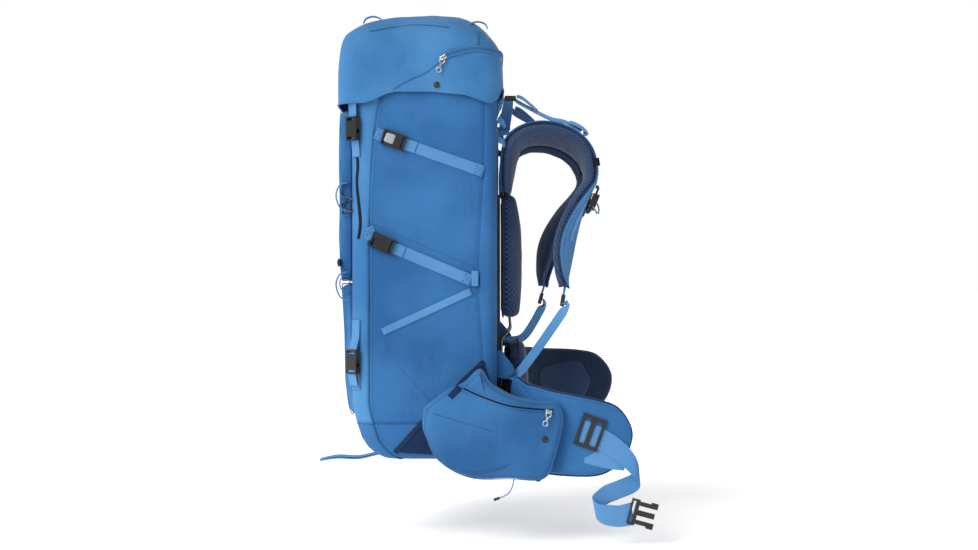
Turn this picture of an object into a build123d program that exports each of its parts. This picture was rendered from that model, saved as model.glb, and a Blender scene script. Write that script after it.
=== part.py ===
"""Trekking backpack with a pivoting lid, a pivoting harness and a hip belt with two hinged fins.

Frame, in millimetres: +X points from the pack towards the wearer, +Y to the wearer's left and +Z up.
The origin is the top of the haul loop, on the middle of the pack. "Right" is the wearer's right, at -Y.
"""
from build123d import *
import os
from functools import cache
from math import atan2, cos, degrees, hypot, pi, sin, tan

# ---------------------------------------------------------------- driving dimensions
BAG_HALF_WIDTH = 150.0
BAG_DEPTH = 256.0
BAG_HEIGHT = 633.0
BAG_TOP = -15.0
BACK_X = -12.0                # outer face of the back panel
BAG_WALL = 3.0
FRONT_CORNER_RADIUS = 32.0
BACK_CORNER_RADIUS = 20.0
BASE_PANEL_HEIGHT = 62.0
BODY_GAP = 0.4                # air between pieces of different bodies

COLLAR_HEIGHT = 27.0
COLLAR_INSET = 8.0
COLLAR_WALL = 1.5
COLLAR_HEM = 5.0

POCKET_DEPTH = 29.0
POCKET_HALF_WIDTH = 104.0
POCKET_UPPER_HEIGHT = 308.0
POCKET_LOWER_HEIGHT = 240.0
POCKET_SPLIT = 3.0
GUSSET = 5.0                  # thickness of the pleated strip along each side of the pocket

MESH_POCKET_THICKNESS = 2.4

LID_HALF_WIDTH = 158.0
LID_OVERHANG = 27.0           # how far the lid stands out in front of the bag
LID_REAR_X = 0.0
LID_CROWN = 155.0
LID_WALL = 3.0
LID_FLOOR_Z = 6.0
LID_HINGE = (1.0, 3.0)        # X and Z of the fold line at the back of the lid
LID_PLAN_RADIUS = 40.0
LID_SHOULDER_RADIUS = 58.0
LID_ZIP_Z = 62.0
LID_ZIP_START = -106.0
ZIP_WIDTH = 9.0
ZIP_THICKNESS = 1.5

WEBBING = 20.0                # width of the narrow webbing
WEBBING_THICKNESS = 1.6
HIP_WEBBING = 38.0
BUCKLE_WIDTH = 27.0
BUCKLE_LENGTH = 42.0
BUCKLE_THICKNESS = 9.0

STAY_WIDTH = 12.0
STAY_THICKNESS = 3.0
STAY_Y = 48.0
BACK_SHEET_THICKNESS = 3.0
BACK_PAD_THICKNESS = 37.0
BACK_PAD_TOP = -181.0
BACK_PAD_HEIGHT = 221.0
BACK_PAD_INNER = 20.0
BACK_PAD_WIDTH = 72.0
ROD_DIAMETER = 4.0

STRAP_INNER = 58.0            # distance of the shoulder strap's inner edge from the middle
STRAP_WIDTH = 65.0
STRAP_THICKNESS = 19.0
STRAP_COVER = 5.0
STRAP_LOWER_SHIFT = -30.0     # how much further back the left strap's lower end hangs

LIFTER_Y = 90.0

LEFT_FIN_LIFT = 45.0          # how much higher the left fin rides than the right one
LEFT_FIN_TILT = 8.0           # how much the left fin's tip is turned up, in degrees
FIN_THICKNESS = 18.0
FIN_COVER = 4.0
FIN_HINGE_X = 24.0
FIN_HINGE_Y = 128.0
LUMBAR_HALF_WIDTH = 100.0
LUMBAR_DEPTH = 34.0
LUMBAR_HEIGHT = 140.0
LUMBAR_TOP = -446.0
BELT_CORE_X = 6.0
BELT_CORE_THICKNESS = 4.0
HIP_POCKET_GAP = 13.0         # air between the hip pocket and the side of the bag
HIP_POCKET_OUTER = 72.0       # how far the hip pocket stands out from the side of the bag

# ---------------------------------------------------------------- places that follow
FRONT_X = BACK_X - BAG_DEPTH
BASE_Z = BAG_TOP - BAG_HEIGHT
SIDE_Y = BAG_HALF_WIDTH
LID_FRONT_X = FRONT_X - LID_OVERHANG
SHEET_X = BACK_X + STAY_THICKNESS
PAD_X = SHEET_X + BACK_SHEET_THICKNESS
PLUG_SHARE = 0.42             # share of a closed buckle that is its plug


# ---------------------------------------------------------------- helpers
def block(x0, x1, y0, y1, z0, z1):
    """Box between two corners."""
    size = (x1 - x0, y1 - y0, z1 - z0)
    return Pos((x0 + x1) / 2, (y0 + y1) / 2, (z0 + z1) / 2) * Box(*size)


def route(points, radii):
    """Straight runs in the side plane, joined by tangent arcs."""
    if len(points) == 2:
        return Line(*points)
    return FilletPolyline(*points, radius=radii)


def fitting_radii(points, radii):
    """Radii of a closed outline, each no larger than its two sides have room for."""
    count = len(points)
    result = []
    for i, radius in enumerate(radii):
        (x0, z0), (x1, z1), (x2, z2) = points[i - 1], points[i], points[(i + 1) % count]
        turn = atan2(z2 - z1, x2 - x1) - atan2(z1 - z0, x1 - x0)
        turn = abs((turn + pi) % (2 * pi) - pi)
        room = 0.48 * min(hypot(x1 - x0, z1 - z0), hypot(x2 - x1, z2 - z1))
        result.append(min(radius, room / tan(turn / 2)))
    return result


def side_face(points, radii):
    """Closed face in the side plane, X across and Z up, with rounded corners."""
    fitted = fitting_radii(points, radii)
    return Plane.XZ * make_face(FilletPolyline(*points, radius=fitted, close=True))


def prism(face, y0, y1):
    """Solid between two distances across the pack."""
    return Pos(0, y0, 0) * extrude(face, amount=y1 - y0, dir=(0, 1, 0))


def moved_route(points, distance):
    """The same route shifted to the left of its travel, each run staying parallel."""
    last = len(points) - 1
    result = []
    for i, (x, z) in enumerate(points):
        before = points[i - 1] if i else points[0]
        middle = points[i] if i else points[1]
        after = points[i + 1] if i < last else points[last]
        here = points[i] if i < last else points[last - 1]
        turn_in = atan2(middle[1] - before[1], middle[0] - before[0])
        turn_out = atan2(after[1] - here[1], after[0] - here[0])
        nx = -sin(turn_in) - sin(turn_out)
        nz = cos(turn_in) + cos(turn_out)
        share = distance / (1 + cos(turn_out - turn_in))
        result.append((x + nx * share, z + nz * share))
    return result


def moved_radii(points, radii, distance):
    """Corner radii of the shifted route, so that its arcs stay concentric."""
    result = []
    for i, radius in enumerate(radii):
        (x0, z0), (x1, z1), (x2, z2) = points[i:i + 3]
        cross = (x1 - x0) * (z2 - z1) - (z1 - z0) * (x2 - x1)
        result.append(radius - distance if cross > 0 else radius + distance)
    return result


def band_face(points, radii, low, high):
    """Face between two shifted copies of a route."""
    first = moved_route(points, low)
    second = moved_route(points, high)[::-1]
    edge_a = route(first, moved_radii(points, radii, low))
    edge_b = route(second, moved_radii(points, radii, high)[::-1])
    ends = Line(first[-1], second[0]) + Line(second[-1], first[0])
    return Plane.XZ * make_face(edge_a + edge_b + ends)


def band(points, radii, low, high, y0, y1):
    """Strap seen edge-on from the side, between two distances across the pack."""
    return prism(band_face(points, radii, low, high), y0, y1)


def flat_band(start, end, width, y0, y1):
    """Straight webbing that lies flat in the side plane."""
    return band([start, end], [], -width / 2, width / 2, y0, y1)


def plan_form(x0, x1, half_width, front_radius, back_radius, z0, z1):
    """Upright prism with a rounded rectangular plan."""
    corners = [(x0, -half_width), (x1, -half_width), (x1, half_width), (x0, half_width)]
    radii = [front_radius, back_radius, back_radius, front_radius]
    face = make_face(FilletPolyline(*corners, radius=radii, close=True))
    return Pos(0, 0, z0) * extrude(face, amount=z1 - z0)


def tube(points, radii, diameter, y):
    """Round bar along a route in the side plane."""
    path = Pos(0, y, 0) * (Plane.XZ * route(points, radii))
    return sweep((path ^ 0) * Circle(diameter / 2), path=path)


def group(*shapes):
    """Separate solids kept side by side in one node."""
    return Compound([solid for shape in shapes for solid in shape.solids()])


def left_of(shape):
    """The same piece on the other side of the pack."""
    return shape.mirror(Plane.XZ)


def pick(shape, side):
    """A piece drawn on the right, put on the named side."""
    return shape if side == "right" else left_of(shape)


def upright_buckle_socket(width, length, thickness):
    """Lower half of a side-release buckle, mouth up, with its mouth at the origin."""
    wall = 2.0
    slot = 4.0
    body = block(-thickness / 2, thickness / 2, -width / 2, width / 2, -length, 0)
    cavity = block(-thickness / 2 + wall, thickness / 2 - wall,
                   -width / 2 + wall, width / 2 - wall, -length * 0.55, 1)
    window = block(-thickness / 2 + wall, thickness / 2 - wall,
                   -width, width, -length * 0.5, -length * 0.2)
    webbing_slot = block(-thickness, thickness, -width / 2 + 3, width / 2 - 3,
                         -length + 3, -length + 3 + slot)
    return body - cavity - window - webbing_slot


def upright_buckle_plug(width, length, thickness, tongue):
    """Upper half of a side-release buckle, pointing down, its shoulder at the origin."""
    slot = 4.0
    reach = thickness / 2 - 2.8
    shoulder = block(-thickness / 2, thickness / 2, -width / 2, width / 2, 0, length)
    slotted = shoulder - block(-thickness, thickness, -width / 2 + 3, width / 2 - 3,
                               length - 3 - slot, length - 3)
    guide = block(-reach, reach, -width * 0.1, width * 0.1, -tongue, 0)
    arms = [block(-reach, reach, y - width * 0.07, y + width * 0.07, -tongue, 0)
            for y in (-width * 0.3, width * 0.3)]
    return slotted + guide + arms[0] + arms[1]


def laid_on_side(shape, x, z, direction_x, direction_z, y):
    """Turn an upright piece flat onto the right side, its length along a direction."""
    angle = degrees(atan2(direction_x, direction_z))
    return Pos(x, y, z) * Rot(0, angle, 0) * Rot(0, 0, 90) * shape


def ladder_lock(length, width, thickness):
    """Three-bar webbing adjuster, flat, with its length along X and its width along Y."""
    bar = 3.0
    frame = block(0, length, -width / 2, width / 2, -thickness / 2, thickness / 2)
    slot = (length - 3 * bar) / 2
    cuts = [block(x, x + slot, -width / 2 + bar, width / 2 - bar, -thickness, thickness)
            for x in (bar, 2 * bar + slot)]
    return frame - cuts[0] - cuts[1]


# ---------------------------------------------------------------- main bag
@cache
def bag_form(inset):
    """Outer form of the bag, or the same form set in on every side."""
    front = FRONT_X + inset
    back = BACK_X - inset
    base = BASE_Z + inset
    top = BAG_TOP + (inset if inset else 0)
    profile = side_face(
        [(front, top), (front, BASE_Z + 96), (front + 17, BASE_Z + 32), (front + 55, base),
         (back - 33, base), (back, BASE_Z + 46), (back, top)],
        [1, 60, 30, 18, 22, 40, 1])
    plan = plan_form(front, back, SIDE_Y - inset, FRONT_CORNER_RADIUS - inset,
                     BACK_CORNER_RADIUS - inset, BASE_Z - 1, BAG_TOP + inset + 1)
    return prism(profile, -SIDE_Y - 1, SIDE_Y + 1) & plan


def bag_panels():
    """Front, side, back and base panels, cut from one shell along their seams."""
    shell = bag_form(0) - bag_form(BAG_WALL)
    far = 400.0
    base_cut = BASE_Z + BASE_PANEL_HEIGHT
    low = block(-far, far, -far, far, BASE_Z - 10, base_cut)
    high = block(-far, far, -far, far, base_cut, far)
    front_seam = FRONT_X + FRONT_CORNER_RADIUS
    back_seam = BACK_X - BACK_CORNER_RADIUS
    front = block(-far, front_seam, -far, far, -2 * far, far)
    back = block(back_seam, far, -far, far, -2 * far, far)
    middle = block(front_seam, back_seam, -far, 0, -2 * far, far)
    upper = shell & high
    return {
        "base_panel": shell & low,
        "front_panel": upper & front,
        "back_panel": upper & back,
        "side_panel_right": upper & middle,
        "side_panel_left": upper & left_of(middle),
    }


def snow_collar():
    """Thin fabric tube inside the mouth of the bag, and the thicker hem along its edge."""
    top = BAG_TOP + 8
    bottom = BAG_TOP - COLLAR_HEIGHT
    inset = BAG_WALL + COLLAR_INSET

    def ring(wall, z0, z1):
        outer = plan_form(FRONT_X + inset, BACK_X - inset, SIDE_Y - inset, 22, 14, z0, z1)
        inner = plan_form(FRONT_X + inset + wall, BACK_X - inset - wall, SIDE_Y - inset - wall,
                          22 - wall, 14 - wall, z0 - 1, z1 + 1)
        return outer - inner

    foot_outer = plan_form(FRONT_X + BAG_WALL, BACK_X - BAG_WALL, SIDE_Y - BAG_WALL,
                           FRONT_CORNER_RADIUS - BAG_WALL, BACK_CORNER_RADIUS - BAG_WALL,
                           bottom - 2, bottom)
    foot_inner = plan_form(FRONT_X + inset + COLLAR_WALL, BACK_X - inset - COLLAR_WALL,
                           SIDE_Y - inset - COLLAR_WALL, 20, 12, bottom - 3, bottom + 1)
    collar = ring(COLLAR_WALL, bottom, top) + (foot_outer - foot_inner)
    return {"snow_collar": group(collar, ring(COLLAR_HEM, top, top + COLLAR_HEM))}


def front_pockets():
    """Two stacked pockets on the front of the bag, as plain closed forms."""
    wall_x = FRONT_X
    outer = FRONT_X - POCKET_DEPTH
    top = LID_SKIRT_Z - 3
    split = top - POCKET_UPPER_HEIGHT
    low = split - POCKET_LOWER_HEIGHT
    upper = side_face(
        [(wall_x, top), (outer + 2, top), (outer - 1, (top + split) / 2), (outer + 2, split),
         (wall_x, split)], [1, 5, 200, 8, 1])
    start = split - POCKET_SPLIT
    lower = side_face(
        [(wall_x, start), (outer + 3, start), (outer + 11, low + 96), (outer + 14, low + 20),
         (wall_x, low)], [1, 6, 120, 30, 2])
    half = POCKET_HALF_WIDTH
    hem = prism(side_face([(wall_x, top - 16), (outer + 8, top - 16), (outer + 8, split + 6),
                           (wall_x, split + 6)], [1, 4, 4, 1]), half, half + GUSSET)
    return {
        "front_pocket_upper": prism(upper, -half, half),
        "front_pocket_lower": prism(lower, -half, half),
        "front_pocket_gussets": group(hem, left_of(hem)),
    }


def mesh_pocket():
    """Flat stretch pocket low on the right side, with its slanting mouth."""
    points = [(FRONT_X + 78, BASE_Z + 12), (FRONT_X + 131, BASE_Z + 67),
              (BACK_X - 23, BASE_Z + 171), (BACK_X - 5, BASE_Z + 114),
              (BACK_X - 5, BASE_Z + 55), (BACK_X - 40, BASE_Z + 6)]
    face = side_face(points, [4, 30, 4, 10, 20, 20])
    return prism(face, -SIDE_Y - MESH_POCKET_THICKNESS, -SIDE_Y)


# ---------------------------------------------------------------- side compression straps
def side_strap(front, buckle, back, y):
    """Webbing through a buckle: the sewn stub, the long band and the place of the buckle."""
    run = (back[0] - buckle[0], back[1] - buckle[1])
    length = hypot(*run)
    ux, uz = run[0] / length, run[1] / length
    half = BUCKLE_LENGTH / 2
    buckle_front = (buckle[0] - ux * half, buckle[1] - uz * half)
    buckle_back = (buckle[0] + ux * half, buckle[1] + uz * half)
    outer = y - WEBBING_THICKNESS
    stub = flat_band(front, buckle_front, WEBBING, outer, y)
    long_band = flat_band(buckle_back, back, WEBBING, outer, y)
    mouth = (buckle_front[0] + ux * BUCKLE_LENGTH * PLUG_SHARE,
             buckle_front[1] + uz * BUCKLE_LENGTH * PLUG_SHARE)
    centre_y = y - BUCKLE_THICKNESS / 2
    plug_length = BUCKLE_LENGTH * PLUG_SHARE
    socket_length = BUCKLE_LENGTH - plug_length
    plug = laid_on_side(upright_buckle_plug(BUCKLE_WIDTH, plug_length, BUCKLE_THICKNESS, 11),
                        mouth[0], mouth[1], -ux, -uz, centre_y)
    socket = laid_on_side(upright_buckle_socket(BUCKLE_WIDTH, socket_length, BUCKLE_THICKNESS),
                          mouth[0], mouth[1], -ux, -uz, centre_y)
    return stub, long_band, plug, socket


def compression_straps():
    """The two slanting straps on the right side, with the crossing band below them."""
    y = -SIDE_Y
    upper = side_strap((FRONT_X + 44, BAG_TOP - 62), (FRONT_X + 76, BAG_TOP - 75),
                       (BACK_X - 23, BAG_TOP - 130), y)
    lower = side_strap((FRONT_X + 30, BAG_TOP - 228), (FRONT_X + 56, BAG_TOP - 255),
                       (BACK_X - 43, BAG_TOP - 321), y)
    patch = block(BACK_X - 44, BACK_X - 33, y - 2 * WEBBING_THICKNESS, y,
                  BAG_TOP - 331, BAG_TOP - 302)
    crossing = flat_band((BACK_X - 45, BAG_TOP - 339), (FRONT_X + 56, BAG_TOP - 410), 13,
                         y - WEBBING_THICKNESS, y)
    webbing = []
    for stub, long_band, plug, socket in (upper, lower):
        webbing += [stub - plug, long_band - socket]
    return {
        "webbing": group(*webbing[:3], webbing[3] + patch, crossing),
        "plugs": group(upper[2], lower[2]),
        "sockets": group(upper[3], lower[3]),
    }


# ---------------------------------------------------------------- front corner straps
def on_front_corner(shape, z):
    """Put an upright piece on the rounded right front corner, facing outwards."""
    centre_x = FRONT_X + FRONT_CORNER_RADIUS
    centre_y = -SIDE_Y + FRONT_CORNER_RADIUS
    return Pos(centre_x, centre_y, z) * Rot(0, 0, 45) * Pos(-FRONT_CORNER_RADIUS, 0, 0) * shape


def corner_webbing(z0, z1, width, stand_off):
    """Upright webbing on the front corner between two heights."""
    back = -stand_off
    piece = block(back - WEBBING_THICKNESS, back, -width / 2, width / 2, 0, z1 - z0)
    return on_front_corner(piece, z0)


LID_BUCKLE_MOUTH = BAG_TOP - 51          # height where the lid strap's plug meets its socket
BASE_BUCKLE_MOUTH = BASE_Z + 174
CORNER_BUCKLE_X = -8.0                   # buckle centre, outwards from the corner


def corner_buckle(mouth, tongue):
    """Plug and socket of an upright buckle on the front corner."""
    plug_length = BUCKLE_LENGTH * PLUG_SHARE
    plug = upright_buckle_plug(BUCKLE_WIDTH, plug_length, BUCKLE_THICKNESS, tongue)
    socket = upright_buckle_socket(BUCKLE_WIDTH, BUCKLE_LENGTH - plug_length, BUCKLE_THICKNESS)
    at = Pos(CORNER_BUCKLE_X, 0, 0)
    return on_front_corner(at * plug, mouth), on_front_corner(at * socket, mouth)


def corner_socket_backing(mouth):
    """Webbing tab that carries a corner buckle's socket, sewn to the bag below it."""
    low = mouth - BUCKLE_LENGTH * (1 - PLUG_SHARE)
    inner = CORNER_BUCKLE_X + BUCKLE_THICKNESS / 2
    tab = block(inner, 3, -WEBBING / 2, WEBBING / 2, low - 28, low + 12)
    return on_front_corner(tab, 0) - bag_form(0)


# ---------------------------------------------------------------- lid
@cache
def lid_form(inset, bottom):
    """Form of the lid set in by some wall: a side outline within a plan and a front view."""
    front = LID_FRONT_X + inset
    rear = LID_REAR_X - inset
    top = LID_CROWN - inset
    outline = [(front, bottom), (front - 1, 62), (front + 24, top - 28), (front + 95, top - 7),
               (rear - 128, top + 1), (rear - 38, top - 26), (rear, 52), (rear, bottom)]
    side = prism(side_face(outline, [1, 60, 40, 200, 160, 60, 40, 1]), -200, 200)
    plan = plan_form(front - 2, rear, LID_HALF_WIDTH - inset, LID_PLAN_RADIUS - inset,
                     LID_PLAN_RADIUS - inset, bottom - 1, top + 10)
    half = LID_HALF_WIDTH - inset
    corner = LID_SHOULDER_RADIUS - inset
    view = make_face(FilletPolyline((-half, bottom - 1), (half, bottom - 1), (half, top),
                                    (-half, top), radius=[1, 1, corner, corner], close=True))
    front_view = Pos(front - 10, 0, 0) * extrude(Plane.YZ * view, amount=400, dir=(1, 0, 0))
    return side & plan & front_view


def lid_skirt_cut():
    """What is taken off below the lid, so that its lower edge rises in the middle."""
    low = LID_SKIRT_Z - 40
    outline = [(LID_FRONT_X - 10, low), (LID_FRONT_X - 10, LID_SKIRT_Z),
               (FRONT_X + 24, LID_SKIRT_Z), (FRONT_X + 78, -6), (LID_REAR_X - 62, -7),
               (LID_REAR_X - 32, LID_HINGE[1] + 2), (LID_REAR_X + 10, LID_HINGE[1] + 2),
               (LID_REAR_X + 10, low)]
    return prism(side_face(outline, [1, 1, 30, 30, 60, 8, 1, 1]), -200, 200)


LID_SKIRT_Z = -26.0
LID_TONGUE = 4.0              # how far the lid's plugs reach into their sockets


def lid_zip_zone():
    """Space that the lid's zip takes: a level band from both sides round the back."""
    return block(LID_ZIP_START, LID_REAR_X + 10, -200, 200,
                 LID_ZIP_Z - ZIP_WIDTH / 2, LID_ZIP_Z + ZIP_WIDTH / 2)


def lid_pieces():
    """Lid shell, its floor, its zip and the loops and snaps sewn to it."""
    outer = lid_form(0, -45)
    hollow = lid_form(LID_WALL, -60)
    zip_band = (outer - lid_form(ZIP_THICKNESS, -60)) & lid_zip_zone()
    shell = outer - hollow - lid_skirt_cut() - zip_band
    floor = hollow & block(-400, 100, -200, 200, LID_FLOOR_Z, LID_FLOOR_Z + 2)
    loops = []
    for x in (LID_FRONT_X + 64, LID_REAR_X - 46):
        for y in (-118, 118):
            arc = tube([(x - 11, 124), (x - 9, 148), (x + 9, 148), (x + 11, 124)], [8, 8], 4, y)
            loops.append(arc - outer)
    snap_x = LID_REAR_X - 117
    snap = Pos(snap_x, -LID_HALF_WIDTH - 1.2, 5.5) * Rot(90, 0, 0) * Cylinder(4, 2.4)
    return {
        "lid_shell": shell,
        "lid_floor": floor,
        "lid_zip": zip_band,
        "lid_loops_and_snaps": group(*loops, snap, left_of(snap)),
    }


def lid_straps():
    """Webbing from the front of the lid down to the plugs of the two front buckles."""
    plug_top = LID_BUCKLE_MOUTH + BUCKLE_LENGTH * PLUG_SHARE
    strap = corner_webbing(plug_top - 9, 2, WEBBING, -CORNER_BUCKLE_X - WEBBING_THICKNESS / 2)
    reach = block(-60, CORNER_BUCKLE_X - WEBBING_THICKNESS / 2, -WEBBING / 2, WEBBING / 2, 0, 2)
    tie = on_front_corner(reach, 0) & lid_form(LID_WALL, -45)
    plug = corner_buckle(LID_BUCKLE_MOUTH, LID_TONGUE)[0]
    webbing = strap - plug + tie
    return {
        "lid_straps": webbing + left_of(webbing),
        "lid_buckle_plugs": plug + left_of(plug),
    }


def zip_pull(x, z, y, length, tilt):
    """Wire double loop hanging from a zip slider on the right side, about its eye."""
    radius = 4.2
    wire = 2.0
    ring = Rot(90, 0, 0) * Torus(radius, wire / 2)
    lower = Pos(0, 0, -length + 2 * radius) * ring
    link = block(-1.6, 1.6, -1, 1, -length + 3 * radius, -radius)
    hanging = Rot(0, tilt, 0) * Pos(0, 0, -radius) * (ring + link + lower)
    return Pos(x, y, z) * hanging


def zip_slider(x, z, y, tilt):
    """Body of a zip slider lying on the right side."""
    body = block(-7, 7, -1.4, 1.4, -4, 4)
    return Pos(x, y, z) * Rot(0, tilt, 0) * body


# ---------------------------------------------------------------- back of the pack
def back_system():
    """Stays, cross bars, sheet and pads between the bag and the wearer."""
    top = BAG_TOP - 45
    low = BASE_Z + 50
    y0, y1 = STAY_Y - STAY_WIDTH / 2, STAY_Y + STAY_WIDTH / 2
    stay = block(BACK_X, SHEET_X, -y1, -y0, low, top)
    bars = [block(BACK_X, SHEET_X, -y0, y0, z - 10, z + 10)
            for z in (BAG_TOP - 140, BAG_TOP - 420)]
    sheet = block(SHEET_X, PAD_X, -BACK_PAD_INNER - BACK_PAD_WIDTH, BACK_PAD_INNER + BACK_PAD_WIDTH,
                  low, BACK_PAD_TOP)
    pad_low = BACK_PAD_TOP - BACK_PAD_HEIGHT
    pad_x1 = PAD_X + BACK_PAD_THICKNESS
    profile = side_face([(PAD_X, BACK_PAD_TOP), (pad_x1 - 6, BACK_PAD_TOP), (pad_x1, pad_low + 60),
                         (pad_x1 - 8, pad_low), (PAD_X, pad_low)], [1, 14, 60, 16, 10])
    inner, outer = BACK_PAD_INNER, BACK_PAD_INNER + BACK_PAD_WIDTH
    pad = prism(profile, -outer, -inner)
    rod = tube([(PAD_X + 18, pad_low), (PAD_X + 20, LUMBAR_TOP + 22), (PAD_X + 3, LUMBAR_TOP + 4),
                (PAD_X + 3, LUMBAR_TOP - 80)], [12, 14], ROD_DIAMETER, -56)
    anchor = block(PAD_X, BELT_CORE_X - BODY_GAP, -34, 34, LUMBAR_TOP - 110, LUMBAR_TOP - 40)
    return {
        "frame_stays": group(stay, left_of(stay)),
        "frame_cross_bars": bars[0] + bars[1],
        "back_sheet": sheet,
        "back_pads": group(pad, left_of(pad)),
        "frame_rods": group(rod, left_of(rod)),
        "lumbar_anchor": anchor,
    }


def haul_loop():
    """Inverted U of doubled webbing, its ends at the fold line on the back of the bag."""
    half = 36.0
    thick = 3.0
    path = FilletPolyline((-half, HAUL_HINGE[1]), (-half, -3), (half, -3),
                          (half, HAUL_HINGE[1]), radius=[12, 12])
    face = Plane.YZ * trace(path, line_width=thick)
    loop = extrude(face, amount=WEBBING, dir=(1, 0, 0))
    lean = degrees(atan2(HAUL_LEAN, -HAUL_HINGE[1]))
    upright = Pos(-WEBBING / 2, 0, -HAUL_HINGE[1]) * loop
    return Pos(HAUL_HINGE[0], 0, HAUL_HINGE[1]) * Rot(0, lean, 0) * upright


HAUL_HINGE = (3.0, -52.0)
HAUL_LEAN = 8.0


def haul_tabs():
    """Sewn tabs that hold the ends of the haul loop on the back panel."""
    tab = block(BACK_X, HAUL_HINGE[0] + WEBBING / 2, -42, -30, HAUL_HINGE[1] - 14,
                HAUL_HINGE[1] - 2)
    return tab + left_of(tab)


def lid_tongue():
    """Fabric strip from the back panel up to the fold line of the lid."""
    x0, x1 = BACK_X, LID_REAR_X
    top = LID_HINGE[1] + 1
    face = side_face([(x0, BAG_TOP - 13), (x0 + 2, BAG_TOP - 13), (x1, -6), (x1, top), (x1 - 3, top),
                      (x1 - 3, -5), (x0, BAG_TOP)], [0.4, 3, 2, 0.8, 0.8, 1.5, 0.4])
    return prism(face, -LID_HALF_WIDTH + LID_PLAN_RADIUS, LID_HALF_WIDTH - LID_PLAN_RADIUS)


# ---------------------------------------------------------------- harness
YOKE_X = PAD_X + 2.0


def strap_route(shift):
    """Middle line of a shoulder strap; the shift moves its lower end back."""
    x = YOKE_X - 2 + STRAP_THICKNESS / 2
    points = [(x, BACK_PAD_TOP + 4), (x, -69), (86, -57), (152, -87), (163, -149),
              (136 + shift * 0.45, -218), (121 + shift * 0.75, -280), (110 + shift, -347)]
    return points, [26, 60, 40, 60, 110, 110]


def shoulder_strap(side):
    """Foam lining and outer cover of a shoulder strap, with the tab at its lower end."""
    shift = 0 if side == "right" else STRAP_LOWER_SHIFT
    points, radii = strap_route(shift)
    half = STRAP_THICKNESS / 2
    y0, y1 = -STRAP_INNER - STRAP_WIDTH, -STRAP_INNER
    lining = band(points, radii, -half, half - STRAP_COVER, y0, y1)
    cover = band(points, radii, half - STRAP_COVER, half, y0, y1)
    end = points[-1]
    before = points[-2]
    run = hypot(end[0] - before[0], end[1] - before[1])
    ux, uz = (end[0] - before[0]) / run, (end[1] - before[1]) / run
    middle = (y0 + y1) / 2
    tab_end = (end[0] + ux * 14, end[1] + uz * 14)
    tab = band([end, tab_end], [], -2, 2, middle - 14, middle + 14)
    angle = degrees(atan2(-uz, ux))
    lock = Pos(tab_end[0], middle, tab_end[1]) * Rot(0, angle, 0) * ladder_lock(21, 28, 6)
    lock_end = (tab_end[0] + ux * 21, tab_end[1] + uz * 21)
    return lining, cover, tab, lock, lock_end


LOWER_ANCHOR = {"right": (31.0, -498.0), "left": (42.0, -449.0)}
LOWER_SLACK = 32.0            # free length below the ladder lock, where the webbing flexes


def lower_webbing(side, lock_end):
    """Webbing from the bag's bottom corner up towards the strap's ladder lock."""
    y0 = -STRAP_INNER - STRAP_WIDTH - 4
    y1 = y0 + 15
    x, z = LOWER_ANCHOR[side]
    run = (lock_end[0] - x, lock_end[1] - z)
    share = 1 - LOWER_SLACK / hypot(*run)
    top = (x + run[0] * share, z + run[1] * share)
    points = [(BACK_X, z - 2), (x, z), top]
    return band(points, [6], -1.3, 1.3, y0, y1) - bag_form(0)


def load_lifter():
    """Right load lifter: the anchor webbing and adjuster on the bag, the strap on the harness."""
    z = -9.0
    lock = Pos(2, -LIFTER_Y, z) * ladder_lock(20, 28, 6)
    anchor = band([(BACK_X, BAG_TOP - 25), (BACK_X + 3, BAG_TOP - 12), (2, z)], [6],
                  -1.2, 1.2, -LIFTER_Y - 10, -LIFTER_Y + 10)
    points = [(28, -18), (62, -35), (86, -46.3), (112, -53), (140, -68)]
    strap = band(points, [80, 60, 60], -1.3, 1.3, -LIFTER_Y - 10, -LIFTER_Y + 10)
    return lock, anchor - lock, strap


STERNUM_START = (157.6, -162.8)
STERNUM_END = (140.0, -207.7)
STERNUM_Y = 78.0
RAIL_OFFSET = STRAP_THICKNESS / 2 + 5.5
RAIL_DIAMETER = 4.0
SLIDER_BORE = 5.6


def sternum_direction():
    """Unit vector down the sternum rail."""
    dx = STERNUM_END[0] - STERNUM_START[0]
    dz = STERNUM_END[1] - STERNUM_START[1]
    length = hypot(dx, dz)
    return dx / length, dz / length


def sternum_rail():
    """Cord rail along the front of the right shoulder strap, with its two end stitches."""
    ux, uz = sternum_direction()
    nx, nz = -uz, ux
    offset = RAIL_OFFSET
    start = (STERNUM_START[0] + nx * offset, STERNUM_START[1] + nz * offset)
    end = (STERNUM_END[0] + nx * offset, STERNUM_END[1] + nz * offset)
    rail = tube([start, end], [], RAIL_DIAMETER, -STERNUM_Y)
    feet = [band([(p[0] - nx * 5.5, p[1] - nz * 5.5), p], [], -3, 3, -STERNUM_Y - 3, -STERNUM_Y + 3)
            for p in (start, end)]
    return rail + feet[0] + feet[1]


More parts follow.
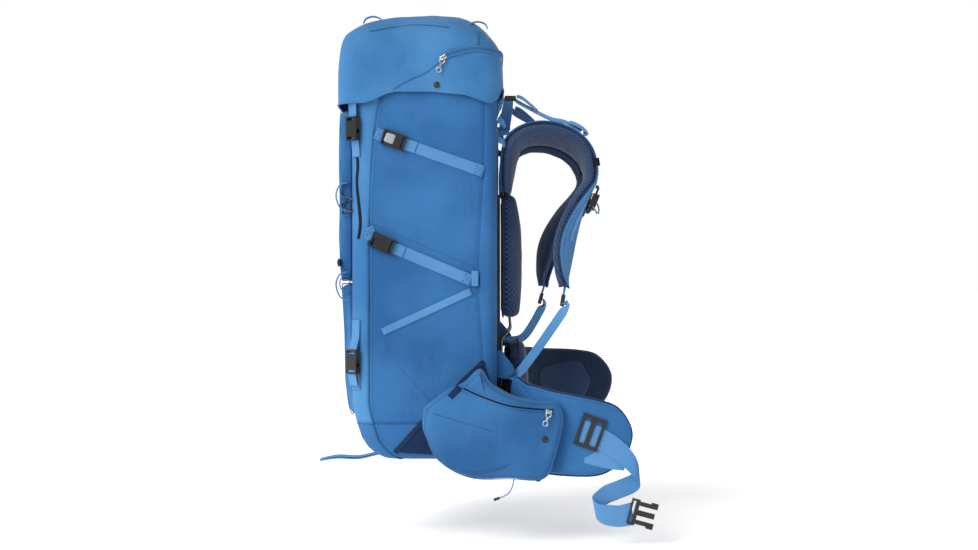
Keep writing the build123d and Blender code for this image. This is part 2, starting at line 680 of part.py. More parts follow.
def sternum_strap():
    """Sliders, webbing and centre buckle of the chest strap, half way along its rails."""
    ux, uz = sternum_direction()
    nx, nz = -uz, ux
    cx = (STERNUM_START[0] + STERNUM_END[0]) / 2 + nx * RAIL_OFFSET
    cz = (STERNUM_START[1] + STERNUM_END[1]) / 2 + nz * RAIL_OFFSET
    tilt = degrees(atan2(-ux, -uz))

    def at(shape):
        return Pos(cx, 0, cz) * Rot(0, tilt, 0) * shape

    slider = block(-4.8, 7, -STERNUM_Y - 5, -STERNUM_Y + 7, -12, 12)
    bore = Pos(0, -STERNUM_Y, 0) * Cylinder(SLIDER_BORE / 2, 40)
    slider = slider - bore
    webbing = block(4, 4 + WEBBING_THICKNESS, -STERNUM_Y + 7, STERNUM_Y - 7, -10, 10)
    socket = Pos(6, 0, 0) * Rot(90, 0, 0) * upright_buckle_socket(
        26, BUCKLE_LENGTH * (1 - PLUG_SHARE), 8)
    plug = Pos(6, 0, 0) * Rot(90, 0, 0) * upright_buckle_plug(26, BUCKLE_LENGTH * PLUG_SHARE, 8, 11)
    span = webbing - block(-10, 30, -BUCKLE_LENGTH * PLUG_SHARE + 6,
                           BUCKLE_LENGTH * (1 - PLUG_SHARE) - 6, -20, 20)
    return {
        "sternum_sliders": group(at(slider), left_of(at(slider))),
        "sternum_webbing": at(span) - at(plug) - at(socket),
        "sternum_buckle": group(at(plug), at(socket)),
    }


def harness():
    """Yoke, both shoulder straps, their fittings and the webbing that rides with them."""
    half = STRAP_INNER
    yoke = block(YOKE_X - 2, YOKE_X + 7, -half, half, BACK_PAD_TOP + 5, -96)
    right = shoulder_strap("right")
    left = [left_of(piece) for piece in shoulder_strap("left")[:4]]
    lifter = load_lifter()[2] - right[1] - right[0]
    rail = sternum_rail() - right[1]
    return {
        "harness_yoke": yoke,
        "shoulder_linings": group(right[0], left[0]),
        "shoulder_covers": group(right[1], left[1]),
        "strap_ladder_locks": group(right[3], left[3]),
        "harness_webbing": group(lifter, left_of(lifter), right[2], left[2]),
        "sternum_rails": group(rail, left_of(rail)),
    }


# ---------------------------------------------------------------- hip belt
def fin_outline(lift, tilt):
    """Side outline of a hip fin, from its root to its rounded tip, raised and turned up."""
    points = [(0, -514), (48, -516), (95, -527), (161, -540), (198, -556), (219, -596),
              (205, -638), (166, -667), (100, -669), (40, -664), (0, -656)]
    face = side_face(points, [4, 40, 80, 60, 30, 40, 30, 40, 60, 60, 4])
    turned = Pos(FIN_HINGE_X, 0, FIN_MIDDLE_Z) * Rot(0, -tilt, 0)
    return Pos(0, 0, lift) * turned * Pos(-FIN_HINGE_X, 0, -FIN_MIDDLE_Z) * face


FIN_MIDDLE_Z = -591.0
FIN_KNUCKLE_HEIGHT = 126.0
FIN_FLAT_Y = 190.0
FIN_TIP_X = 222.0
FIN_PLAN = [(FIN_HINGE_X, -FIN_HINGE_Y), (52, -168), (104, -FIN_FLAT_Y), (FIN_TIP_X, -FIN_FLAT_Y)]
FIN_PLAN_RADII = [60, 90]
FIN_OUTER_Y = -FIN_FLAT_Y - FIN_THICKNESS / 2


def fin_plan(low, high):
    """Plan band of the right fin: from the hinge outwards and forwards."""
    first = moved_route(FIN_PLAN, low)
    second = moved_route(FIN_PLAN, high)[::-1]
    edge_a = FilletPolyline(*first, radius=moved_radii(FIN_PLAN, FIN_PLAN_RADII, low))
    edge_b = FilletPolyline(*second, radius=moved_radii(FIN_PLAN, FIN_PLAN_RADII, high)[::-1])
    ends = Line(first[-1], second[0]) + Line(second[-1], first[0])
    return make_face(edge_a + edge_b + ends)


def fin_inside():
    """Everything on the body side of the right fin's outer face."""
    line = moved_route(FIN_PLAN, -FIN_THICKNESS / 2)
    edge = FilletPolyline(*line, radius=moved_radii(FIN_PLAN, FIN_PLAN_RADII, -FIN_THICKNESS / 2))
    rest = Polyline(line[-1], (FIN_TIP_X, -60), (0, -60), (0, line[0][1]), line[0])
    return Pos(0, 0, -900) * extrude(make_face(edge + rest), amount=800)


def fin(lift, tilt):
    """Foam lining and outer cover of the right fin, at a given height."""
    half = FIN_THICKNESS / 2
    outline = prism(fin_outline(lift, tilt), -260, -100)
    tall = Pos(0, 0, -900)

    def layer(low, high):
        return outline & (tall * extrude(fin_plan(low, high), amount=800))

    middle = Pos(FIN_HINGE_X, -FIN_HINGE_Y, FIN_MIDDLE_Z + lift)
    knuckle = middle * Cylinder(half, FIN_KNUCKLE_HEIGHT)
    return layer(-half + FIN_COVER, half) + knuckle, layer(-half, -half + FIN_COVER) - knuckle


HIP_POCKET_SEAM_GAP = 9.0
HIP_POCKET_FRONT_X = BELT_CORE_X + HIP_POCKET_SEAM_GAP


def hip_pocket():
    """Rear and front parts of the right hip pocket, parted at the fin's hinge."""
    y_out = -SIDE_Y - HIP_POCKET_OUTER
    points = [(-138, -560), (-138, -595), (-113, -643), (-58, -672), (12, -674), (66, -674),
              (86, -640), (101, -572), (90, -543), (60, -541), (20, -533), (-20, -512),
              (-41, -486), (-68, -508), (-100, -524), (-134, -550)]
    radii = [8, 25, 30, 40, 60, 10, 60, 12, 12, 40, 60, 20, 5, 30, 30, 8]
    face = side_face(points, radii)
    rear = prism(face, y_out, -SIDE_Y - HIP_POCKET_GAP) & block(-300, BELT_CORE_X, -400, 0, -900, 0)
    front = prism(face, y_out, -130) & block(HIP_POCKET_FRONT_X, 300, -400, 0, -900, 0)
    return rear, front - fin_inside()


def tri_glide(x, z, y, tilt):
    """Rectangular hip adjuster lying on the outside of the right fin."""
    frame = block(-21, 21, -2, 2, -28, 28)
    cuts = [block(s * 10 - 6, s * 10 + 6, -4, 4, -22, 22) for s in (-1, 1)]
    return Pos(x, y, z) * Rot(0, tilt, 0) * (frame - cuts[0] - cuts[1])


HIP_PLUG = (214.0, -728.0)
HIP_PLUG_TILT = 15.0
PRONG_LENGTH = 42.0


def hip_webbing_right():
    """Webbing on the outside of the right fin and its free S down to the plug."""
    y0 = FIN_OUTER_Y - 2.4
    along = flat_band((124, -586), (200, -627), HIP_WEBBING, y0, FIN_OUTER_Y)
    hang = [(172, -604), (225, -632), (233, -672), (216, -694), (172, -708), (214, -716),
            (222, -742), (165, -750), (150, -706), (196, -668), (176, -640)]
    loop = prism(side_face(hang, [4, 12, 12, 12, 3, 4, 4, 10, 10, 10, 6]), y0, FIN_OUTER_Y)
    return along + loop


def hip_plug():
    """Two-prong plug of the hip buckle: its body and its two springing prongs."""
    x, z = HIP_PLUG
    y = FIN_OUTER_Y - 1.2

    def at(shape):
        return Pos(x, y, z) * Rot(0, HIP_PLUG_TILT, 0) * shape

    body = block(0, 14, -5, 5, -22, 22) - block(3, 8, -8, 8, -19, 19)
    guide = block(14, 44, -2.5, 2.5, -4.5, 4.5)
    prongs = []
    for sign in (1, -1):
        low, high = sorted((sign * 12.5, sign * 19.5))
        arm = block(15, 36, -3, 3, low, high)
        lo, hi = sorted((sign * 12.5, sign * 22.5))
        prongs.append(at(arm + block(34, 46, -3, 3, lo, hi)))
    return at(body + guide), prongs[0], prongs[1]


LEFT_STRAP_Z = -540.0


def hip_socket():
    """Socket of the hip buckle, folded back on the outside of the left fin."""
    wall = 2.4
    depth = 13.0
    x0, x1 = 128.0, 176.0
    z = LEFT_STRAP_Z
    y0 = -FIN_OUTER_Y + 2.4
    shell = block(x0, x1, y0, y0 + depth, z - 24, z + 24)
    cavity = block(x0 - 1, x1 - 12, y0 + wall, y0 + depth - wall, z - 24 + wall, z + 24 - wall)
    windows = block(x0 + 12, x0 + 28, y0 + wall, y0 + depth - wall, z - 40, z + 40)
    return shell - cavity - windows


def hip_webbing_left():
    """Short webbing on the outside of the left fin, turned back to the socket."""
    z = LEFT_STRAP_Z
    half = HIP_WEBBING / 2
    y0 = -FIN_OUTER_Y
    along = block(112, 212, y0, y0 + 2.4, z - half, z + half)
    turn = block(176, 212, y0 + 2.4, y0 + 7, z - half, z + half)
    return along + turn


CORD_DIAMETER = 2.0
CORD_ROUTE = [(17.0, -674.3), (14.5, -687.0), (9.0, -697.5), (0.5, -703.5), (-8.0, -706.5)]


def pocket_cord():
    """Short pull cord that hangs below the right hip pocket, with its moulded end."""
    runs = [hypot(b[0] - a[0], b[1] - a[1]) for a, b in zip(CORD_ROUTE, CORD_ROUTE[1:])]
    radii = []
    for i in range(1, len(CORD_ROUTE) - 1):
        (x0, z0), (x1, z1), (x2, z2) = CORD_ROUTE[i - 1:i + 2]
        turn = atan2(z2 - z1, x2 - x1) - atan2(z1 - z0, x1 - x0)
        turn = abs((turn + pi) % (2 * pi) - pi)
        radii.append(0.45 * min(runs[i - 1], runs[i]) / tan(turn / 2))
    print("pull cord radii", [round(r, 2) for r in radii])
    y = -SIDE_Y - HIP_POCKET_OUTER + 20
    cord = tube(CORD_ROUTE, radii, CORD_DIAMETER, y)
    (x0, z0), (x1, z1) = CORD_ROUTE[-2:]
    angle = degrees(atan2(x1 - x0, z1 - z0))
    end = Pos(x1, y, z1) * Rot(0, angle, 0) * Pos(0, 0, 5) * Cylinder(2.4, 10)
    return cord, end


def hip_belt():
    """Lumbar pad and core, both fins, their pockets and their webbing and buckles."""
    core = block(BELT_CORE_X, BELT_CORE_X + BELT_CORE_THICKNESS, -SIDE_Y - HIP_POCKET_GAP - 12,
                 SIDE_Y + HIP_POCKET_GAP + 12, LUMBAR_TOP - 150, LUMBAR_TOP - 95)
    pad_x = BELT_CORE_X + BELT_CORE_THICKNESS
    lumbar = side_face(
        [(pad_x, LUMBAR_TOP), (pad_x + LUMBAR_DEPTH - 4, LUMBAR_TOP - 2),
         (pad_x + LUMBAR_DEPTH, LUMBAR_TOP - LUMBAR_HEIGHT + 20),
         (pad_x + LUMBAR_DEPTH - 14, LUMBAR_TOP - LUMBAR_HEIGHT),
         (pad_x, LUMBAR_TOP - LUMBAR_HEIGHT)], [2, 14, 20, 10, 2])
    nodes = {
        "hip_belt_core": core,
        "lumbar_pad": prism(lumbar, -LUMBAR_HALF_WIDTH, LUMBAR_HALF_WIDTH),
    }
    rear, front = hip_pocket()
    y_out = -SIDE_Y - HIP_POCKET_OUTER
    tape = flat_band((HIP_POCKET_FRONT_X + 1, -546), (84, -553), 7, y_out - 1.4, y_out)
    slider = zip_slider(74, -556, y_out - 2.8, 10)
    pull = zip_pull(76, -558, y_out - 5.6, 24, 20)
    for side, lift, tilt in (("right", 0.0, 0.0), ("left", LEFT_FIN_LIFT, LEFT_FIN_TILT)):
        rise = Pos(0, 0, lift)
        pieces = {
            "hip_fin": group(*fin(lift, tilt)),
            "hip_pocket_rear": rise * rear,
            "hip_pocket_front": rise * group(front - tape - slider, tape - slider, slider),
            "hip_zip_pull": rise * pull,
        }
        for name, shape in pieces.items():
            nodes[f"{name}_{side}"] = pick(shape, side)
    nodes["hip_tri_glide"] = tri_glide(147, -594, FIN_OUTER_Y - 4.4, 20)
    nodes["hip_webbing_left"] = hip_webbing_left()
    nodes["hip_plug"], nodes["hip_prong_upper"], nodes["hip_prong_lower"] = hip_plug()
    nodes["hip_webbing_right"] = hip_webbing_right() - nodes["hip_plug"]
    nodes["hip_socket"] = hip_socket()
    nodes["pull_cord"], nodes["pull_cord_end"] = pocket_cord()
    return nodes


def pack():
    """Everything that is sewn or riveted to the bag itself."""
    nodes = bag_panels()
    nodes.update(snow_collar())
    nodes.update(front_pockets())
    pocket = mesh_pocket()
    nodes["side_pockets"] = group(pocket, left_of(pocket))
    straps = compression_straps()
    webbing = straps["webbing"]
    nodes["compression_straps"] = group(webbing, left_of(webbing))
    base_plug, base_socket = corner_buckle(BASE_BUCKLE_MOUTH, 11)
    lid_socket = corner_buckle(LID_BUCKLE_MOUTH, LID_TONGUE)[1]
    plugs = [straps["plugs"], base_plug]
    sockets = [straps["sockets"], base_socket, lid_socket]
    nodes["buckle_plugs"] = group(*plugs, *[left_of(p) for p in plugs])
    nodes["buckle_sockets"] = group(*sockets, *[left_of(p) for p in sockets])
    plug_top = BASE_BUCKLE_MOUTH + BUCKLE_LENGTH * PLUG_SHARE
    tabs = [corner_socket_backing(LID_BUCKLE_MOUTH) - lid_socket,
            corner_socket_backing(BASE_BUCKLE_MOUTH) - base_socket,
            on_front_corner(block(CORNER_BUCKLE_X, 3, -WEBBING / 2, WEBBING / 2,
                                  plug_top - 8, plug_top + 30), 0) - bag_form(0) - base_plug]
    nodes["front_webbing"] = group(*tabs, *[left_of(tab) for tab in tabs])
    nodes["gear_loops"] = group(axe_loop(), gear_loops())
    nodes.update(back_system())
    lock, anchor, _ = load_lifter()
    nodes["load_lifter_locks"] = group(lock, left_of(lock))
    tongue = lid_tongue()
    sewn = [piece - tongue - bag_form(0) for piece in (anchor, left_of(anchor), haul_tabs())]
    nodes["back_tabs"] = group(tongue, *sewn)
    right = lower_webbing("right", shoulder_strap("right")[4])
    left = lower_webbing("left", shoulder_strap("left")[4])
    nodes["lower_webbing"] = group(right, left_of(left))
    return nodes


def axe_loop():
    """Doubled webbing loop that stands out in front of the base."""
    points = [(FRONT_X + 44, BASE_Z + 2), (FRONT_X + 6, BASE_Z - 7), (FRONT_X - 32, BASE_Z - 5),
              (FRONT_X - 64, BASE_Z - 12)]
    return band(points, [30, 30], -3, 3, -70, -70 + WEBBING) - bag_form(0)


def gear_loops():
    """Small sewn loops down both edges of the front pocket."""
    loops = []
    for top in (BAG_TOP - 146, BAG_TOP - 178, BAG_TOP - 312):
        x = FRONT_X - POCKET_DEPTH * 0.5
        y = -POCKET_HALF_WIDTH - GUSSET
        loops.append(block(x - 9, x + 9, y - 4, y, top - 28, top))
    return group(*loops, *[left_of(loop) for loop in loops])


def lid():
    """The lid with its zip, straps and plugs."""
    nodes = lid_pieces()
    straps = lid_straps()
    nodes["lid_straps"] = straps["lid_straps"]
    nodes["lid_buckle_plugs"] = straps["lid_buckle_plugs"]
    pull_x = LID_ZIP_START + 2
    y = -LID_HALF_WIDTH
    slider = zip_slider(pull_x, LID_ZIP_Z - ZIP_WIDTH, y - 1.4, 20)
    nodes["lid_zip"] = group(nodes["lid_zip"], slider - nodes["lid_zip"])
    nodes["lid_zip_pull"] = zip_pull(pull_x - 2, LID_ZIP_Z - ZIP_WIDTH - 2, y - 4.2, 25, 20)
    return nodes


def main():
    """Build every node and write it as its own file."""
    nodes = {}
    nodes.update(pack())
    nodes.update(lid())
    nodes["haul_loop"] = haul_loop()
    nodes.update(harness())
    nodes.update(sternum_strap())
    nodes.update(hip_belt())
    os.makedirs("parts", exist_ok=True)
    for name, shape in nodes.items():
        export_step(shape if isinstance(shape, Compound) else Compound([shape]),
                    f"parts/{name}.step")
    print(len(nodes), "nodes")


if __name__ == "__main__":
    main()
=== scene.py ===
"""Trekking backpack: cloth, webbing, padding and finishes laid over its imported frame."""

from __future__ import annotations

import logging
import math
from dataclasses import dataclass, field
from enum import Enum
from functools import cache
from typing import Callable, Iterable, Sequence

import bpy
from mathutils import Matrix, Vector, noise

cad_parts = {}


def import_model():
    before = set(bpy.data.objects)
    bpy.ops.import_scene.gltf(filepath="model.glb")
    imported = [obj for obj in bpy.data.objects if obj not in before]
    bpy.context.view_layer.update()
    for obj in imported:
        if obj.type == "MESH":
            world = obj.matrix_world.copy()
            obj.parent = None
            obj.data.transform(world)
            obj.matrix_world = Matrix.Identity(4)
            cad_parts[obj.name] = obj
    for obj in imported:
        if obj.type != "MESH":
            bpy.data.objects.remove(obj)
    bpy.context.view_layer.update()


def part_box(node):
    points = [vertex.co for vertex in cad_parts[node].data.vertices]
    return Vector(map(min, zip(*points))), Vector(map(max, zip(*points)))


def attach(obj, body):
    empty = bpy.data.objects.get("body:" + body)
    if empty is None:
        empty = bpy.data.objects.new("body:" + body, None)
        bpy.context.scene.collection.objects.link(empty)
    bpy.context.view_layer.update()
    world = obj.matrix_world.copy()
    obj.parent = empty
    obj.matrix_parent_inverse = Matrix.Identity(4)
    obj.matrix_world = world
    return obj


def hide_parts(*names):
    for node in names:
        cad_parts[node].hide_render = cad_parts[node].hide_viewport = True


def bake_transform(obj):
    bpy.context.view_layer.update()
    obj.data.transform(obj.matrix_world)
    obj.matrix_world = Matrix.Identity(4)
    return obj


LOG = logging.getLogger("backpack")
MM = 0.001
DUST_COLOUR = (196, 202, 208)
AIR_PRESSURE = 4.0
AIR_TENSION = 12.0
AIR_BENDING = 0.4
ACROSS, UP = Vector((0, 1, 0)), Vector((0, 0, 1))
Pair = tuple[float, float]
Points = Sequence[Sequence[float]]
Line = Sequence[Vector]
Colour = tuple[int, int, int]
Place = Callable[[float, float, float], Vector]


# ---- paths
def blend_value(table: Sequence[Pair], at: float) -> float:
    """Read a value from a table of sorted pairs, with straight runs between them.

    Args:
        table: Pairs of place and value, by rising place.
        at: The place to read.

    Returns:
        The value at that place, held level beyond the ends.
    """
    if at <= table[0][0]:
        return table[0][1]
    for (a, va), (b, vb) in zip(table, table[1:]):
        if at <= b:
            return va + (vb - va) * (at - a) / (b - a)
    return table[-1][1]


def smooth_value(table: Sequence[Pair], at: float) -> float:
    """Read a value from a table of sorted pairs, with smooth runs between them.

    Args:
        table: Pairs of place and value, by rising place.
        at: The place to read.

    Returns:
        The value at that place, held level beyond the ends.
    """
    if at <= table[0][0]:
        return table[0][1]
    for i, ((a, va), (b, vb)) in enumerate(zip(table, table[1:])):
        if at <= b:
            before, after = table[max(i - 1, 0)], table[min(i + 2, len(table) - 1)]
            start = (vb - before[1]) / (b - before[0])
            end = (after[1] - va) / (after[0] - a)
            t, run = (at - a) / (b - a), b - a
            return (va * (2 * t ** 3 - 3 * t * t + 1) + start * run * (t ** 3 - 2 * t * t + t) + vb * (3
                * t * t - 2 * t ** 3) + end * run * (t ** 3 - t * t))
    return table[-1][1]


def resample(points: Line, count: int, closed: bool = False) -> list[Vector]:
    """Spread points evenly along a line.

    Args:
        points: The line's points.
        count: How many points to give.
        closed: Whether the line returns to its first point.

    Returns:
        Evenly spread points, without a repeated last one when closed.
    """
    line = list(points) + ([points[0]] if closed else [])
    reach = [0.0]
    for a, b in zip(line, line[1:]):
        reach.append(reach[-1] + (b - a).length)
    steps = count if closed else count - 1
    result, at = [], 0
    for i in range(count):
        goal = reach[-1] * i / steps
        while at < len(line) - 2 and reach[at + 1] < goal:
            at += 1
        run = reach[at + 1] - reach[at]
        result.append(line[at].lerp(line[at + 1], 0.0 if run < 1e-9 else (goal - reach[at]) / run))
    return result


def flowing(points: Points, count: int, closed: bool = False) -> list[Vector]:
    """Smooth line through points.

    Args:
        points: Places that the line goes through.
        count: How many points to give.
        closed: Whether the line returns to its first point.

    Returns:
        Evenly spread points of the smooth line.
    """
    known = [Vector(p) for p in points]
    n = len(known)
    dense: list[Vector] = []
    for i in range(n if closed else n - 1):
        if closed:
            p0, p1, p2, p3 = (known[(i + k - 1) % n] for k in range(4))
        else:
            p0, p1, p2, p3 = (known[min(max(i + k - 1, 0), n - 1)] for k in range(4))
        for k in range(12):
            t = k / 12
            dense.append(0.5 * (2 * p1 + (p2 - p0) * t + (2 * p0 - 5 * p1 + 4 * p2 - p3) * t * t + (3 *
                p1 - p0 - 3 * p2 + p3) * t ** 3))
    if not closed:
        dense.append(known[-1])
    return resample(dense, count, closed)


def rounded(points: Points, radii: Sequence[float], count: int,
        closed: bool = False) -> list[Vector]:
    """Straight runs joined by rounded corners.

    Args:
        points: Corners of the line.
        radii: One radius for each corner that is rounded.
        count: How many points to give.
        closed: Whether the line returns to its first point.

    Returns:
        Evenly spread points of the rounded line.
    """
    known = [Vector(p) for p in points]
    n = len(known)
    dense: list[Vector] = [] if closed else [known[0]]
    corners = range(n) if closed else range(1, n - 1)
    for i, radius in zip(corners, radii):
        corner = known[i]
        back, ahead = known[i - 1] - corner, known[(i + 1) % n] - corner
        turn = math.pi - back.angle(ahead)
        trim = min(radius * math.tan(turn / 2), 0.48 * back.length, 0.48 * ahead.length)
        a, b = corner + back.normalized() * trim, corner + ahead.normalized() * trim
        dense += [a.lerp(corner, t).lerp(corner.lerp(b, t), t) for t in (k / 8 for k in range(9))]
    if not closed:
        dense.append(known[-1])
    return resample(dense, count, closed)


# ---- forms
@dataclass
class Form:
    """Mesh under construction, in millimetres, with its cloth coordinates."""

    points: list[Vector] = field(default_factory=list)
    faces: list[tuple[int, ...]] = field(default_factory=list)
    corners: list[Pair] = field(default_factory=list)

    def face(self, indexes: Sequence[int], places: Sequence[Pair]) -> None:
        """Add one face and its cloth coordinates."""
        self.faces.append(tuple(indexes))
        self.corners += list(places)

    def loft(self, rings: Sequence[Line], closed: bool = True, ends: bool = True) -> Form:
        """Lay a skin over rows of points.

        Args:
            rings: Rows with the same number of points.
            closed: Whether each row returns to its first point.
            ends: Whether the first and last rows are filled in.

        Returns:
            The form itself.
        """
        start, n = len(self.points), len(rings[0])
        along = 0.0
        reach: list[list[float]] = []
        rise: list[float] = []
        for i, ring in enumerate(rings):
            if i:
                along += (sum((a - b).length for a, b in zip(ring, rings[i - 1]))) / n
            rise.append(along)
            walk = [0.0]
            for a, b in zip(ring, list(ring[1:]) + [ring[0]]):
                walk.append(walk[-1] + (b - a).length)
            reach.append(walk)
            self.points += [Vector(p) for p in ring]
        for i in range(len(rings) - 1):
            for j in range(n if closed else n - 1):
                k = (j + 1) % n
                a, b = start + i * n, start + (i + 1) * n
                self.face((a + j, a + k, b + k, b + j), ((reach[i][j], rise[i]), (reach[i][j + 1],
                    rise[i]), (reach[i + 1][j + 1], rise[i + 1]), (reach[i + 1][j], rise[i + 1])))
        if ends and closed:
            last = start + (len(rings) - 1) * n
            self.face([start + j for j in reversed(range(n))],
                [(reach[0][j], 0.0) for j in reversed(range(n))])
            self.face([last + j for j in range(n)], [(reach[-1][j], rise[-1]) for j in range(n)])
        return self

    def plug(self, last: bool = False, count: int = 0) -> Form:
        """Close the small first or last ring of a skin with one face."""
        first = len(self.points) - count if last else 0
        ring = list(range(first, first + count))
        self.face(ring if last else ring[::-1], [(0.0, 0.0)] * count)
        return self

    def merge(self, *others: Form) -> Form:
        """Add other forms to this one and give it back."""
        for other in others:
            start = len(self.points)
            self.points += other.points
            self.faces += [tuple(start + i for i in f) for f in other.faces]
            self.corners += other.corners
        return self

    def mirrored(self) -> Form:
        """The same form on the other side of the pack."""
        turned = self.turned()
        turned.points = [Vector((p.x, -p.y, p.z)) for p in self.points]
        return turned

    def turned(self) -> Form:
        """The same form with its faces the other way round."""
        copy = Form(self.points)
        at = 0
        for f in self.faces:
            places = self.corners[at:at + len(f)]
            at += len(f)
            copy.face(tuple(reversed(f)), list(reversed(places)))
        return copy

    def both(self) -> Form:
        """This form and its mirrored twin as one."""
        return Form().merge(self, self.mirrored())


class Section(Enum):
    """Cross sections that are swept along a line."""

    WEBBING = "flat band with soft edges"
    PAD = "thick crowned pad"
    CORD = "round"

    def outline(self, width: float, thick: float) -> list[Pair]:
        """Closed outline of the section.

        Args:
            width: Full width across.
            thick: Full thickness.

        Returns:
            Pairs of distance across and distance out.
        """
        w, h = width / 2, thick / 2
        if self is Section.WEBBING:
            b = min(h, 0.9)
            upper = [(-w + 0.25 * b, 0.7 * h), (-w + b, h), (-w + 3 * b, h * 1.02), (0.0, h * 1.05),
                (w - 3 * b, h * 1.02), (w - b, h), (w - 0.25 * b, 0.7 * h)]
            return [(-w, 0.0), *upper, (w, 0.0), *[(x, -y) for x, y in reversed(upper)]]
        power = 2.0 if self is Section.CORD else 2.9
        count = 10 if self is Section.CORD else 30
        result = []
        for i in range(count):
            turn = math.pi - 2 * math.pi * i / count
            c, s = math.cos(turn), math.sin(turn)
            result.append((math.copysign(abs(c) ** (2 / power), c) * w,
                math.copysign(abs(s) ** (2 / power), s) * h))
        return result


def sweep(line: Line, across: Vector | Line, section: Section,
        width: float | Callable[[float], float], thick: float | Callable[[float], float],
        ends: bool = True) -> Form:
    """Sweep a cross section along a line.

    Args:
        line: Points of the middle line.
        across: Direction of the section's width, one for all or one for each point.
        section: Which cross section.
        width: Width, fixed or by share of the line.
        thick: Thickness, fixed or by share of the line.
        ends: Whether the ends are filled in.

    Returns:
        The swept form.
    """
    rings = []
    last = len(line) - 1
    for i, at in enumerate(line):
        run = (line[min(i + 1, last)] - line[max(i - 1, 0)]).normalized()
        side = Vector(across if isinstance(across, Vector) else across[i])
        side = (side - run * side.dot(run)).normalized()
        out = run.cross(side)
        t = i / last
        w = width(t) if callable(width) else width
        h = thick(t) if callable(thick) else thick
        rings.append([at + side * u + out * v for u, v in reversed(section.outline(w, h))])
    return Form().loft(rings, True, ends)


def ribbon(line: Line, across: Vector | Line, width: float | Callable[[float],
        float], thick: float) -> Form:
    """Flat webbing along a line."""
    return sweep(line, across, Section.WEBBING, width, thick)


def hoop(line: Line, diameter: float) -> Form:
    """Round cord along a line that returns to its start."""
    return cord_form([*line, line[0]], diameter)


def cord_form(line: Line, diameter: float) -> Form:
    """Round cord along a line, with a steady direction across."""
    middle = sum((b - a for a, b in zip(line, line[1:])), Vector()).normalized()
    across = Vector((0.3, 1, 0.2)) if abs(middle.y) < 0.7 else Vector((1, 0.2, 0.3))
    return sweep(line, across, Section.CORD, diameter, diameter)


def band_between(left: Line, right: Line, thick: float) -> Form:
    """Band of webbing between two edge lines.

    Args:
        left: Points of one edge.
        right: Points of the other edge, as many.
        thick: Thickness of the webbing.

    Returns:
        The band.
    """
    rings = []
    last = len(left) - 1
    for i, (a, b) in enumerate(zip(left, right)):
        side = (b - a).normalized()
        run = (left[min(i + 1, last)] + right[min(i + 1, last)] - left[max(i - 1, 0)] - right[max(i - 1,
            0)])
        out = run.cross(side).normalized()
        middle = (a + b) / 2
        rings.append([middle + side * u + out * v for u, v in reversed(Section.WEBBING.outline((b -
            a).length, thick))])
    return Form().loft(rings)


def cushion(outline: Line, half: float, rim: float, crown: Pair, place: Place,
        faces: Pair = (1.0, 1.0)) -> Form:
    """Closed pad with a rounded rim and crowned faces.

    Args:
        outline: Closed outline as flat points, x and y used.
        half: Half of the pad's thickness at its rim.
        rim: How far in the rim's rounding reaches.
        crown: Extra height of the middle, low face first.
        place: Puts a flat place and a height into the pack.
        faces: Share of the half thickness that each face keeps, low face first.

    Returns:
        The pad.
    """
    n = len(outline)
    centre = sum(outline, Vector((0, 0, 0))) / n
    area = sum(a.x * b.y - b.x * a.y for a, b in zip(outline, list(outline[1:]) + [outline[0]]))
    spin = 1.0 if area > 0 else -1.0
    inward = []
    for i in range(n):
        run = (outline[(i + 1) % n] - outline[i - 1]).normalized()
        inward.append(Vector((-run.y, run.x, 0)) * spin)

    def inset(depth: float) -> list[Vector]:
        """Outline moved in by a depth."""
        return [p + d * depth for p, d in zip(outline, inward)]

    rows: list[tuple[list[Vector], list[float]]] = []
    inner = inset(rim)
    shares = (0.12, 0.34, 0.56, 0.78, 0.92)
    for s in shares:
        ring = [centre.lerp(p, s) for p in inner]
        rows.append((ring, [-half * faces[0] - crown[0] * (1 - s * s)] * n))
    for k in range(9):
        turn = math.radians(-90 + 22.5 * k)
        lift = half * math.sin(turn) * (faces[0] if turn < 0 else faces[1])
        rows.append((inset(rim * (1 - math.cos(turn))), [lift] * n))
    for s in reversed(shares):
        ring = [centre.lerp(p, s) for p in inner]
        rows.append((ring, [half * faces[1] + crown[1] * (1 - s * s)] * n))
    form = Form()
    for ring, lifts in rows:
        form.points += [place(p.x, p.y, h) for p, h in zip(ring, lifts)]
    for i in range(len(rows) - 1):
        for j in range(n):
            k = (j + 1) % n
            order = (i * n + j, i * n + k, (i + 1) * n + k, (i + 1) * n + j)
            flat = [rows[q // n][0][q % n] for q in order]
            form.face(order if spin > 0 else order[::-1], [(p.x,
                p.y) for p in (flat if spin > 0 else flat[::-1])])
    for row, height in ((0, -half * faces[0] - crown[0]), (len(rows) - 1, half * faces[1] + crown[1])):
        tip = len(form.points)
        form.points.append(place(centre.x, centre.y, height))
        for j in range(n):
            k = (j + 1) % n
            order = (row * n + k, row * n + j, tip) if row == 0 else (row * n + j, row * n + k, tip)
            order = order if spin > 0 else order[::-1]
            flat = {tip: centre, row * n + j: rows[row][0][j], row * n + k: rows[row][0][k]}
            form.face(order, [(flat[q].x, flat[q].y) for q in order])
    return form


def stitches(line: Line, outward: Vector, length: float = 3.2, gap: float = 2.2) -> Form:
    """Row of small raised stitches along a line.

    Args:
        line: Points of the row.
        outward: Direction out of the cloth.
        length: Length of one stitch.
        gap: Space between two stitches.

    Returns:
        The stitches as one form.
    """
    total = sum((b - a).length for a, b in zip(line, line[1:]))
    count = max(2, int(total / (length + gap)))
    marks = resample(line, 2 * count)
    form = Form()
    for a, b in zip(marks[::2], marks[1::2]):
        bow = a.lerp(b, 0.5) + outward * 0.45
        form.merge(sweep([a, bow, b], Vector(outward).cross(b - a).normalized(), Section.CORD, 0.8,
            0.6))
    return form


